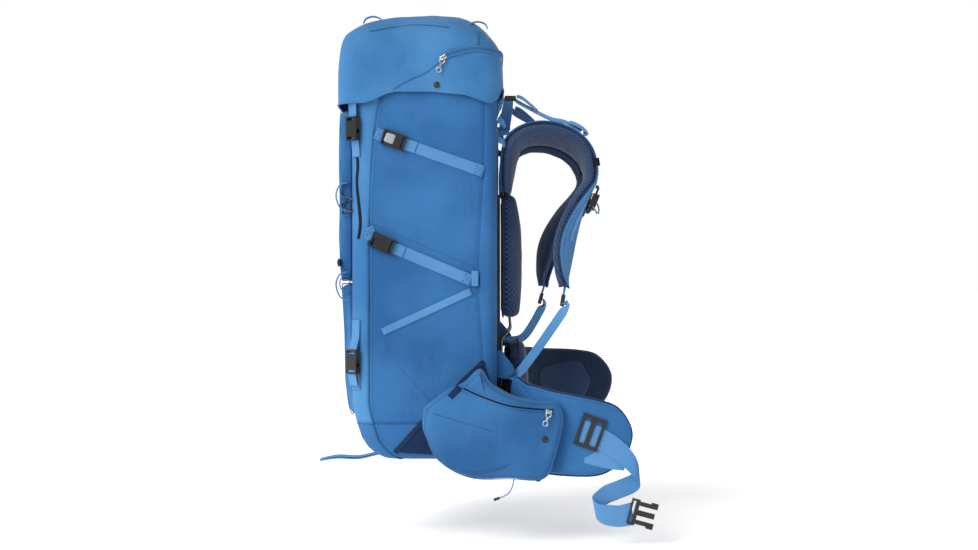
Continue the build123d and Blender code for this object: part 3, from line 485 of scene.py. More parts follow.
# ---- finishes
class Pattern(Enum):
    """Surface patterns, each drawn by its own node group."""

    PLAIN = "Plain weave"
    MESH = "Diamond mesh"
    RIBS = "Webbing ribs"
    GRAIN = "Moulded grain"
    BRUSHED = "Brushed metal"


def linear(colour: Colour) -> tuple[float, float, float, float]:
    """Turn a display colour into the light it stands for."""
    parts = [c / 255 for c in colour]
    parts = [c / 12.92 if c <= 0.04045 else ((c + 0.055) / 1.055) ** 2.4 for c in parts]
    return parts[0], parts[1], parts[2], 1.0


class NodeSheet:
    """Small helper that lays nodes and links in a node tree."""

    def __init__(self, tree: bpy.types.NodeTree) -> None:
        """Keep the tree that is drawn on."""
        self.tree = tree

    def feed(self, target: bpy.types.NodeSocket, source: object) -> None:
        """Link a socket, or set its plain value."""
        if isinstance(source, bpy.types.NodeSocket):
            self.tree.links.new(source, target)
        else:
            target.default_value = source

    def add(self, kind: str, feeds: dict[str | int, object] | None = None,
            **settings: object) -> bpy.types.Node:
        """Add a node, set its named properties and feed its sockets.

        Args:
            kind: Kind of shader node, without its common prefix.
            feeds: Source or plain value of each socket, by name or number.
            settings: Named properties of the node.

        Returns:
            The new node.
        """
        node = self.tree.nodes.new(f"ShaderNode{kind}")
        for name, value in settings.items():
            setattr(node, name, value)
        for socket, source in (feeds or {}).items():
            self.feed(node.inputs[socket], source)
        return node

    def maths(self, operation: str, *values: object) -> bpy.types.NodeSocket:
        """One math node fed with sockets or numbers."""
        return self.add("Math", dict(enumerate(values)), operation=operation).outputs[0]


class NodeGroups:
    """Shared effects, each made once and placed in many materials."""

    def open(self, name: str, inputs: dict[str, object], outputs: Sequence[str]) -> tuple[NodeSheet,
            bpy.types.NodeOutputs, bpy.types.NodeInputs]:
        """Make an empty group with its sockets.

        Args:
            name: Name of the group.
            inputs: First value of each input, or the name of its socket kind.
            outputs: Name of each output; the one named Colour holds a colour.

        Returns:
            The sheet to draw on, what comes in and what goes out.
        """
        tree = bpy.data.node_groups.new(name, "ShaderNodeTree")
        for label, value in inputs.items():
            kind = value if isinstance(value, str) else "Float"
            socket = tree.interface.new_socket(label, in_out="INPUT", socket_type=f"NodeSocket{kind}")
            if kind == "Float":
                socket.default_value = value
        for label in outputs:
            kind = "Color" if label == "Colour" else "Float"
            tree.interface.new_socket(label, in_out="OUTPUT", socket_type=f"NodeSocket{kind}")
        return (NodeSheet(tree), tree.nodes.new("NodeGroupInput").outputs,
            tree.nodes.new("NodeGroupOutput").inputs)

    @cache
    def tone(self) -> bpy.types.NodeTree:
        """Slow drift between a light and a dark dye, with small flecks."""
        sheet, given, end = self.open("Dye tone", {"Place": "Vector", "Light": "Color", "Dark": "Color",
            "Drift": 6.0}, ("Colour", "Spread"))
        slow = sheet.add("TexNoise", {"Vector": given["Place"], "Scale": given["Drift"], "Detail": 3.0})
        fleck = sheet.add("TexNoise", {"Vector": given["Place"], "Scale": 420.0})
        spread = sheet.maths("ADD", sheet.maths("MULTIPLY", slow.outputs[0], 0.85),
            sheet.maths("MULTIPLY", fleck.outputs[0], 0.15))
        span = sheet.add("MapRange", {"Value": spread, "From Min": 0.33, "From Max": 0.67},
            interpolation_type="SMOOTHSTEP")
        mix = sheet.add("Mix", {"Factor": span.outputs["Result"], 6: given["Dark"], 7: given["Light"]},
            data_type="RGBA")
        sheet.feed(end["Colour"], mix.outputs[2])
        sheet.feed(end["Spread"], span.outputs["Result"])
        return sheet.tree

    @cache
    def creases(self) -> bpy.types.NodeTree:
        """Soft creases of cloth that has been handled."""
        sheet, given, end = self.open("Soft creases", {"Place": "Vector", "Size": 12.0}, ["Height"])
        warp = sheet.add("TexNoise", {"Vector": given["Place"], "Scale": given["Size"], "Detail": 2.0,
            "Distortion": 1.4})
        ridge = sheet.maths("ABSOLUTE", sheet.maths("SUBTRACT", warp.outputs[0], 0.5))
        sheet.feed(end["Height"], sheet.maths("MULTIPLY", ridge, 2.0))
        return sheet.tree

    @cache
    def dust(self) -> bpy.types.NodeTree:
        """Light dust and scuffs in patches."""
        sheet, given, end = self.open("Dust and scuffs", {"Place": "Vector", "Amount": 0.2}, ["Mask"])
        patch = sheet.add("TexNoise", {"Vector": given["Place"], "Scale": 38.0, "Detail": 5.0})
        span = sheet.add("MapRange", {"Value": patch.outputs[0], "From Min": 0.56, "From Max": 0.8})
        sheet.feed(end["Mask"], sheet.maths("MULTIPLY", span.outputs["Result"], given["Amount"]))
        return sheet.tree

    @cache
    def pattern(self, kind: Pattern) -> bpy.types.NodeTree:
        """Height and mask of one surface pattern, whose mask the material darkens: painted shade in
        mesh holes and rib valleys.

        Args:
            kind: Which pattern.

        Returns:
            The node group of that pattern.
        """
        sheet, given, end = self.open(kind.value, {"Place": "Vector", "Pitch": 0.002}, ("Height",
            "Mask"))
        parts = sheet.add("SeparateXYZ", {0: given["Place"]})
        x, y = parts.outputs[0], parts.outputs[1]
        turn = sheet.maths("DIVIDE", math.pi * 2, given["Pitch"])

        def wave(place: bpy.types.NodeSocket, pace: bpy.types.NodeSocket) -> bpy.types.NodeSocket:
            """Sine wave over a place."""
            return sheet.maths("SINE", sheet.maths("MULTIPLY", place, pace))

        if kind is Pattern.PLAIN:
            height = sheet.maths("MULTIPLY", wave(x, turn), wave(y, turn))
            mask = sheet.maths("GREATER_THAN", height, 0.4)
        elif kind is Pattern.MESH:
            half = sheet.maths("MULTIPLY", turn, 0.5)
            both = sheet.maths("MULTIPLY", wave(sheet.maths("ADD", x, y), half),
                wave(sheet.maths("SUBTRACT", x, y), half))
            # The mask marks the mesh holes; the material darkens them as painted shade in these
            # recesses.
            span = sheet.add("MapRange", {"Value": sheet.maths("ABSOLUTE", both), "From Min": 0.25,
                "From Max": 0.6}, interpolation_type="SMOOTHSTEP")
            mask = span.outputs["Result"]
            height = sheet.maths("SUBTRACT", 1.0, mask)
        elif kind is Pattern.RIBS:
            slant = sheet.maths("PINGPONG", x, 0.0025)
            rib = wave(sheet.maths("ADD", y, slant), turn)
            height = sheet.maths("ADD", sheet.maths("MULTIPLY", rib, 0.5), 0.5)
            # The mask marks the rib valleys; the material darkens them as painted shade in these
            # recesses.
            mask = sheet.maths("SUBTRACT", 1.0, height)
        elif kind is Pattern.GRAIN:
            pace = sheet.maths("DIVIDE", 1.0, given["Pitch"])
            height = mask = sheet.add("TexNoise", {"Vector": given["Place"], "Scale": pace,
                "Detail": 3.0}).outputs[0]
        else:
            stretch = sheet.add("VectorMath", {0: given["Place"], 1: (60.0, 60.0, 1.0)},
                operation="MULTIPLY")
            height = mask = sheet.add("TexNoise", {"Vector": stretch.outputs[0],
                "Scale": 30.0}).outputs[0]
        sheet.feed(end["Height"], height)
        sheet.feed(end["Mask"], mask)
        return sheet.tree


@dataclass(frozen=True)
class Finish:
    """One surface finish and how its material is made.

    A solid finish takes its pattern from the place in the pack, a wrapped one from the way round
    the piece, and any other from the cloth coordinates.
    """

    name: str
    slot: str
    light: Colour
    dark: Colour
    pattern: Pattern
    pitch: float = 1.6
    relief: float = 0.25
    # Darkening laid into the pattern's mask: painted shade in mesh holes and rib valleys, pattern
    # colour in weave and grain.
    shade: float = 0.12
    crease: float = 0.0
    rough: Pair = (0.62, 0.78)
    metallic: float = 0.0
    sheen: float = 0.0
    coat: float = 0.0
    dust: float = 0.012
    # Colour of the mesh holes: painted shade in these recesses.
    hole_shade: Colour | None = None
    solid: bool = False
    wrap: bool = False

    def material(self, groups: NodeGroups) -> bpy.types.Material:
        """Make the material, or give the one already made.

        Args:
            groups: Shared node groups.

        Returns:
            The material.
        """
        made = bpy.data.materials.get(self.name)
        if made:
            return made
        made = bpy.data.materials.new(self.name)
        made.use_nodes = True
        made.node_tree.nodes.clear()
        sheet = NodeSheet(made.node_tree)
        spots = sheet.add("TexCoord")
        whole = spots.outputs["Object"]
        place = whole if self.solid else spots.outputs["UV"]
        if self.wrap:
            parts = sheet.add("SeparateXYZ", {0: whole})
            round_it = sheet.maths("ADD", parts.outputs[0], parts.outputs[1])
            place = sheet.add("CombineXYZ", {0: round_it, 1: parts.outputs[2]}).outputs[0]
        tone = sheet.add("Group", node_tree=groups.tone())
        weave = sheet.add("Group", node_tree=groups.pattern(self.pattern))
        worn = sheet.add("Group", node_tree=groups.dust())
        for node, feeds in ((tone, {"Place": whole, "Light": linear(self.light),
                "Dark": linear(self.dark)}), (weave, {"Place": place, "Pitch": self.pitch * MM}), (worn,
                {"Place": whole, "Amount": self.dust})):
            for socket, source in feeds.items():
                sheet.feed(node.inputs[socket], source)
        # Darken the pattern's mask towards a deep colour: painted shade in mesh holes and rib valleys,
        # pattern colour in weave and grain.
        shade = sheet.maths("MULTIPLY", weave.outputs["Mask"], self.shade)
        deep = linear(self.hole_shade or tuple(int(c * 0.45) for c in self.dark))
        low = sheet.add("Mix", {"Factor": shade, 6: tone.outputs["Colour"], 7: deep}, data_type="RGBA")
        dusty = sheet.add("Mix", {"Factor": worn.outputs["Mask"], 6: low.outputs[2],
            7: linear(DUST_COLOUR)}, data_type="RGBA")
        span = sheet.add("MapRange", {"Value": tone.outputs["Spread"], "To Min": self.rough[0],
            "To Max": self.rough[1]})
        height = sheet.maths("MULTIPLY", weave.outputs["Height"], self.relief)
        if self.crease:
            fold = sheet.add("Group", node_tree=groups.creases())
            sheet.feed(fold.inputs["Place"], whole)
            sheet.feed(fold.inputs["Size"], 9.0)
            height = sheet.maths("ADD", height, sheet.maths("MULTIPLY", fold.outputs["Height"],
                self.crease))
        bump = sheet.add("Bump", {"Height": height, "Distance": MM, "Strength": 0.8})
        skin = sheet.add("BsdfPrincipled", {"Base Color": dusty.outputs[2],
            "Roughness": span.outputs["Result"], "Normal": bump.outputs["Normal"]})
        sheet.add("OutputMaterial", {"Surface": skin.outputs["BSDF"]})
        skin.inputs["Metallic"].default_value = self.metallic
        skin.inputs["Sheen Weight"].default_value = self.sheen
        skin.inputs["Sheen Roughness"].default_value = 0.5
        skin.inputs["Coat Weight"].default_value = self.coat
        skin.inputs["Specular IOR Level"].default_value = 0.5 if self.solid else 0.15
        return made


SHELL = Finish("Outer cloth", "light_blue_shell", (76, 136, 188), (50, 108, 162), Pattern.PLAIN, 1.5,
    0.16, 0.14, 2.6, (0.58, 0.74), sheen=0.05)
SIDE = Finish("Side cloth", "side_blue_shell", (54, 112, 168), (36, 90, 146), Pattern.PLAIN, 1.5, 0.16,
    0.14, 3.0, (0.6, 0.76), sheen=0.05)
POCKET = Finish("Pocket cloth", "side_blue_shell", (56, 114, 168), (36, 88, 142), Pattern.PLAIN, 1.5,
    0.16, 0.14, 2.6, (0.6, 0.76), sheen=0.05)
BASE = Finish("Base cloth", "navy_base", (30, 52, 86), (20, 38, 68), Pattern.PLAIN, 2.2, 0.3, 0.3, 1.2,
    (0.55, 0.7))
LINING = Finish("Inner cloth", "navy_base", (98, 128, 160), (80, 110, 142), Pattern.PLAIN, 1.4, 0.12,
    0.1, 2.0, (0.6, 0.8))
STRETCH = Finish("Stretch mesh", "navy_mesh", (30, 54, 92), (20, 40, 72), Pattern.MESH, 3.2, 0.4, 0.5,
    0.6, (0.7, 0.85))
MESH = Finish("Padding mesh", "navy_mesh", (66, 88, 122), (44, 64, 98), Pattern.MESH, 9.0, 0.9, 0.85,
    0.0, (0.74, 0.88), sheen=0.2, hole_shade=(24, 38, 66), wrap=True)
STRAP_MESH = Finish("Strap mesh", "navy_mesh", (66, 88, 122), (44, 64, 98), Pattern.MESH, 7.0, 0.9, 0.8,
    0.0, (0.74, 0.88), sheen=0.2, hole_shade=(24, 38, 66))
FINE_MESH = Finish("Fine padding mesh", "navy_mesh", (58, 80, 114), (40, 60, 94), Pattern.MESH, 5.0,
    0.7, 0.7, 0.0, (0.74, 0.88), sheen=0.2, hole_shade=(22, 36, 62))
DARK_MESH = Finish("Belt mesh", "navy_mesh", (38, 58, 88), (26, 44, 72), Pattern.MESH, 6.0, 0.7, 0.7,
    0.0, (0.74, 0.88), sheen=0.15, hole_shade=(14, 24, 44), wrap=True)
WEBBING = Finish("Blue webbing", "blue_webbing", (96, 152, 206), (76, 134, 190), Pattern.RIBS, 1.9,
    0.35, 0.25, 0.3, (0.62, 0.78), sheen=0.1)
BINDING = Finish("Dark binding", "navy_mesh", (48, 70, 108), (36, 56, 92), Pattern.RIBS, 1.6, 0.25, 0.3,
    0.0, (0.65, 0.8))
THREAD = Finish("Thread", "blue_webbing", (44, 94, 148), (34, 80, 132), Pattern.GRAIN, 0.8, 0.1, 0.1,
    0.0, (0.6, 0.7), solid=True)
# Darker blue cords along seams and darts: painted seam shade. The lid's zip teeth take the same colour.
SEAM_SHADE = Finish("Seam shadow", "side_blue_shell", (44, 96, 148), (34, 84, 134), Pattern.GRAIN, 0.8, 0.1,
    0.1, 0.0, (0.7, 0.8), solid=True)
ZIP = Finish("Zip tape", "black_zip", (26, 30, 38), (16, 18, 24), Pattern.RIBS, 2.2, 0.6, 0.4, 0.0,
    (0.5, 0.65))
PLASTIC = Finish("Black plastic", "black_plastic", (20, 20, 22), (12, 12, 14), Pattern.GRAIN, 0.7, 0.22,
    0.12, 0.0, (0.3, 0.46), coat=0.1, dust=0.02, solid=True)
GREY_PLASTIC = Finish("Grey plastic", "black_plastic", (168, 172, 178), (120, 124, 130), Pattern.GRAIN,
    0.7, 0.2, 0.1, 0.0, (0.28, 0.42), solid=True)
SILVER = Finish("Bright metal", "silver_metal", (214, 212, 206), (186, 186, 182), Pattern.BRUSHED, 1.0,
    0.05, 0.15, 0.0, (0.22, 0.36), metallic=1.0, dust=0.03, solid=True)
ALUMINIUM = Finish("Stay aluminium", "aluminium_bar", (176, 178, 182), (150, 152, 156), Pattern.BRUSHED,
    1.0, 0.1, 0.2, 0.0, (0.32, 0.5), metallic=1.0, solid=True)
STEEL = Finish("Rod steel", "steel_rod", (168, 170, 174), (130, 132, 136), Pattern.BRUSHED, 1.0, 0.1,
    0.2, 0.0, (0.25, 0.4), metallic=1.0, solid=True)
SHEET = Finish("Back sheet", "black_sheet", (34, 36, 42), (22, 24, 28), Pattern.GRAIN, 1.4, 0.3, 0.2,
    0.0, (0.5, 0.66), solid=True)


BINDING_CORD = Finish("Rail cord", "navy_mesh", (34, 52, 84), (24, 40, 68), Pattern.GRAIN, 0.8, 0.2,
    0.2, 0.0, (0.6, 0.75), solid=True)


# ---- workshop
@dataclass
class Puffing:
    """One piece that waits for its air."""

    piece: bpy.types.Object
    cap: float
    held: Callable[[Vector], bool]


class Workshop:
    """Turns forms into pieces of the pack and puts air into the padded ones."""

    def __init__(self) -> None:
        """Start with no pieces made."""
        self.groups = NodeGroups()
        self.waiting: list[Puffing] = []

    def piece(self, name: str, form: Form, finish: Finish, body: str | None = None,
            replaces: Iterable[str] = ()) -> bpy.types.Object:
        """Make one piece.

        Args:
            name: Name of the piece.
            form: Its shape, in millimetres.
            finish: Its finish.
            body: The body that it rides on, or None for a piece on no body.
            replaces: Plain nodes that it stands for.

        Returns:
            The new object.
        """
        mesh = bpy.data.meshes.new(name)
        mesh.from_pydata([p * MM for p in form.points], [], form.faces)
        layer = mesh.uv_layers.new(name="Cloth")
        layer.data.foreach_set("uv", [c * MM for pair in form.corners for c in pair])
        mesh.materials.append(finish.material(self.groups))
        mesh.polygons.foreach_set("use_smooth", [True] * len(mesh.polygons))
        mesh.validate()
        made = bpy.data.objects.new(name, mesh)
        bpy.context.scene.collection.objects.link(made)
        if body:
            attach(made, body)
        nodes = tuple(replaces)
        if nodes:
            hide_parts(*nodes)
        LOG.info("%s: %d faces", name, len(mesh.polygons))
        return made

    def crumple(self, piece: bpy.types.Object, amount: float, size: float, calm: Callable[[Vector],
            float] | None = None) -> None:
        """Press soft folds into a piece.

        Args:
            piece: The piece.
            amount: Height of the folds.
            size: Distance from fold to fold.
            calm: Share of the folds that is kept at a place.
        """
        mesh = piece.data
        shifts = []
        for v in mesh.vertices:
            at = v.co / MM
            push = noise.noise(at / size) + 0.5 * noise.noise(at / size * 2.3)
            push *= amount * (calm(at) if calm else 1.0)
            shifts.append(v.co + v.normal * push * MM)
        for v, place in zip(mesh.vertices, shifts):
            v.co = place

    def thicken(self, piece: bpy.types.Object, thickness: float) -> None:
        """Give a skin its cloth thickness, inwards."""
        solid = piece.modifiers.new("Cloth thickness", "SOLIDIFY")
        solid.thickness = thickness * MM
        solid.offset = -1.0

    def puff(self, piece: bpy.types.Object, cap: float, held: Callable[[Vector],
            bool] = lambda at: False) -> None:
        """Ask for air in a padded piece.

        Args:
            piece: The piece.
            cap: How far a point may move.
            held: Says which places are sewn down.
        """
        self.waiting.append(Puffing(piece, cap, held))

    def blow(self, frames: int = 20) -> None:
        """Let all waiting pieces fill with air at once.

        Args:
            frames: How long the cloth moves.
        """
        if not self.waiting:
            return
        scene = bpy.context.scene
        for job in self.waiting:
            group = job.piece.vertex_groups.new(name="Sewn")
            sewn = [v.index for v in job.piece.data.vertices if job.held(v.co / MM)]
            if sewn:
                group.add(sewn, 1.0, "REPLACE")
            cloth = job.piece.modifiers.new("Air", "CLOTH")
            cloth.settings.use_pressure = True
            cloth.settings.uniform_pressure_force = AIR_PRESSURE
            cloth.settings.effector_weights.gravity = 0.0
            cloth.settings.tension_stiffness = AIR_TENSION
            cloth.settings.bending_stiffness = AIR_BENDING
            if sewn:
                cloth.settings.vertex_group_mass = "Sewn"
        for frame in range(1, frames + 1):
            scene.frame_set(frame)
        graph = bpy.context.evaluated_depsgraph_get()
        for job in self.waiting:
            shaped = job.piece.evaluated_get(graph).to_mesh()
            places = [v.co.copy() for v in shaped.vertices]
            job.piece.evaluated_get(graph).to_mesh_clear()
            job.piece.modifiers.remove(job.piece.modifiers["Air"])
            for v, place in zip(job.piece.data.vertices, places):
                move = place - v.co
                limit = job.cap * MM
                v.co += move if move.length < limit else move.normalized() * limit
            LOG.info("%s filled with air", job.piece.name)
        scene.frame_set(1)


# ---- the bag
@dataclass
class Bag:
    """The tall main bag with its panels, seams and collar."""

    shop: Workshop
    front: float = -268.0
    back: float = -12.0
    half: float = 150.0
    top: float = 2.0
    base: float = -648.0
    base_seam: float = -586.0
    front_radius: float = 32.0
    back_radius: float = 20.0
    front_foot: tuple[Pair, ...] = ((-648, -213), (-640, -228), (-628, -241), (-612, -251), (-585,
        -260), (-552, -268))
    back_foot: tuple[Pair, ...] = ((-648, -46), (-640, -36), (-625, -24), (-602, -12))
    foot_width: tuple[Pair, ...] = ((-648, 140), (-642, 146), (-630, 149), (-612, 150))

    def front_at(self, z: float) -> float:
        """Front of the bag at a height."""
        return blend_value(self.front_foot, z)

    def back_at(self, z: float) -> float:
        """Back of the bag at a height."""
        return blend_value(self.back_foot, z)

    def seam_front(self, z: float) -> float:
        """Front seam of the side panel at a height."""
        share = min(max((z + 235) / 215, 0.0), 1.0)
        return max(-236 + 18 * share * share, self.front_at(z) + self.front_radius)

    def seam_back(self, z: float) -> float:
        """Back seam of the side panel at a height."""
        return min(-33 - 12 * math.exp(-((z + 320) / 130) ** 2), self.back_at(z) - self.back_radius)

    def side_y(self, x: float, z: float) -> float:
        """Distance of the filled side panel from the middle."""
        width = blend_value(self.foot_width, z)
        near = min(x - self.seam_front(z), self.seam_back(z) - x)
        belly = 1.3 * min(max(near / 60, 0.0), 1.0)
        groove = 1.4 * math.exp(-max(near, 0.0) / 2.2)
        pull = 0.0
        for (ax, az), (bx, bz) in (((-224, -77), (-35, -145)), ((-238, -243), (-55, -336))):
            run = Vector((bx - ax, bz - az))
            t = min(max((Vector((x - ax, z - az)).dot(run)) / run.length_squared, 0.0), 1.0)
            gap = (Vector((x - ax, z - az)) - run * t).length
            pull += 1.2 * math.exp(-(gap / 15) ** 2)
        fold = 1.9 * noise.noise(Vector((x / 70, z / 95, 4.0)))
        fold += 0.8 * noise.noise(Vector((x / 28 + z / 60, z / 30, 9.0)))
        return width + belly - groove - pull + fold - 0.6

    def side_row(self, z: float) -> list[Vector]:
        """Row of the right side panel, from back to front."""
        a, b = self.seam_back(z), self.seam_front(z)
        marks = [0.0, 0.012, 0.03] + [0.06 + 0.88 * i / 25 for i in range(26)] + [0.97, 0.988, 1.0]
        return [Vector((x, -self.side_y(x, z), z)) for x in (a + (b - a) * t for t in marks)]

    def front_row(self, z: float) -> list[Vector]:
        """Row of the front panel with both its corners, from right to left."""
        f, w, r = self.front_at(z), blend_value(self.foot_width, z), self.front_radius
        start = self.seam_front(z)
        right = [Vector((start + (f + r - start) * t, -w + 1.0 - 0.9 * min(t * 3, 1), z)) for t in (0.0,
            0.3, 0.7)]
        right[0].y = -self.side_y(start, z)
        right += [Vector((f + r - r * math.sin(t), -w + r - r * math.cos(t),
            z)) for t in (math.pi / 2 * i / 10 for i in range(11))]
        across = [Vector((f - 1.0 * math.sin(math.pi * i / 16), (-w + r) + 2 * (w - r) * i / 16,
            z)) for i in range(1, 16)]
        return right + across + [Vector((p.x, -p.y, z)) for p in reversed(right)]

    def back_row(self, z: float) -> list[Vector]:
        """Row of the back panel with both its corners, from left to right."""
        b, w, r = self.back_at(z), blend_value(self.foot_width, z), self.back_radius
        start = self.seam_back(z)
        left = [Vector((start + (b - r - start) * t, w - 1.0 + 0.9 * min(t * 3, 1), z)) for t in (0.0,
            0.3, 0.7)]
        left[0].y = self.side_y(start, z)
        left += [Vector((b - r + r * math.sin(t), w - r + r * math.cos(t),
            z)) for t in (math.pi / 2 * i / 7 for i in range(8))]
        across = [Vector((b, (w - r) - 2 * (w - r) * i / 12, z)) for i in range(1, 12)]
        return left + across + [Vector((p.x, -p.y, z)) for p in reversed(left)]

    def ring(self, z: float) -> list[Vector]:
        """Whole row round the bag at a height, from the back by the right side."""
        side = self.side_row(z)
        row = self.back_row(z)[:-1] + side[:-1] + self.front_row(z)[:-1]
        return row + [Vector((p.x, -p.y, p.z)) for p in reversed(side)][:-1]

    def levels(self, low: float, high: float, step: float) -> list[float]:
        """Heights between two ends, from low to high."""
        count = max(2, round((high - low) / step) + 1)
        return [low + (high - low) * i / (count - 1) for i in range(count)]

    def panels(self) -> None:
        """Side, front and back panels, each its own piece of cloth."""
        walls = self.levels(self.base_seam, self.top, 9)
        side = Form().loft([self.side_row(z) for z in walls], closed=False).turned()
        for name, form, finish in (("side_panel_right", side, SIDE), ("side_panel_left",
                side.mirrored(), SIDE), ("front_panel", Form().loft([self.front_row(z) for z in walls],
                closed=False).turned(), SHELL), ("back_panel", Form().loft([self.back_row(z) for z in
                walls], closed=False).turned(), SIDE)):
            self.shop.thicken(self.shop.piece(f"{name}_cloth", form, finish, "pack", [name]), 1.6)

    def foot(self) -> None:
        """The boxed foot of the bag with its darker floor."""
        rows = [self.ring(z) for z in self.levels(self.base, self.base_seam, 6)]
        self.shop.thicken(self.shop.piece("foot_wall", Form().loft(rows, ends=False).turned(), SIDE,
            "pack", ["base_panel"]), 1.6)
        rim = rows[0]
        centre = Vector(((self.front_at(self.base) + self.back_at(self.base)) / 2, 0, self.base))
        floor = [[centre.lerp(p, s) for p in rim] for s in (0.02, 0.3, 0.6, 0.85, 0.97, 1.0)]
        self.shop.thicken(self.shop.piece("foot_floor", Form().loft(floor, ends=False) .plug(False,
            len(rim)).turned(), BASE, "pack"), 1.6)

    def seams(self) -> None:
        """Piping and stitch rows down the seams, and painted shade lines along the shaping dart seams
        on the sides.
        """
        piping, rows, dart_shades = Form(), Form(), Form()
        for edge, step in ((self.seam_front, -6.0), (self.seam_back, 6.0)):
            line = [Vector((edge(z), -self.side_y(edge(z), z) + 0.2,
                z)) for z in self.levels(self.base + 10, self.top - 2, 8)]
            piping.merge(cord_form(line, 2.2))
            inner = [Vector((edge(z) - step, -self.side_y(edge(z) - step, z) - 0.1,
                z)) for z in self.levels(self.base + 30, self.top - 14, 8)]
            rows.merge(stitches(inner, Vector((0, -1, 0))))
        # Darker cords along the shaping darts: painted shade.
        for points in (((-211, -432), (-189, -479), (-160, -512), (-133, -541), (-124, -551)),
                ((-240, -231), (-150, -270), (-52, -312))):
            line = flowing([(x, 0, z) for x, z in points], 40)
            line = [Vector((p.x, -self.side_y(p.x, p.z) + 0.1, p.z)) for p in line]
            dart_shades.merge(cord_form(line, 1.3))
        hem = self.ring(self.base_seam)
        self.shop.piece("bag_piping", piping.both(), SIDE, "pack")
        self.shop.piece("bag_stitching", rows.both(), THREAD, "pack")
        self.shop.piece("bag_dart_shades", dart_shades.both(), SEAM_SHADE, "pack")
        # Painted shade line round the foot seam.
        self.shop.piece("foot_seam_shade", hoop(hem, 1.0), SEAM_SHADE, "pack")

    def collar(self) -> None:
        """Drawn snow collar that stands up inside the lid."""
        inset = 8.0
        rows = []
        for k, z in enumerate((-24, -16, -8, 0, 5, 8, 11)):
            row = []
            for i, p in enumerate(self.ring(-60)):
                centre = Vector((-140, 0, p.z))
                away = p - centre
                gather = 1.6 * math.sin(i * 0.9) * k / 6
                shrunk = away * (1 - (inset + 1.2 * k + gather) / away.length)
                row.append(Vector((centre.x + shrunk.x, shrunk.y, z)))
            rows.append(row)
        self.shop.thicken(self.shop.piece("collar_cloth", Form().loft(rows, ends=False).turned(),
            LINING, "pack", ["snow_collar"]), 1.2)
        self.shop.piece("collar_cord", hoop(rows[-1], 4.0), BINDING, "pack")

    def make(self) -> None:
        """Make the whole bag."""
        self.panels()
        self.foot()
        self.seams()
        self.collar()


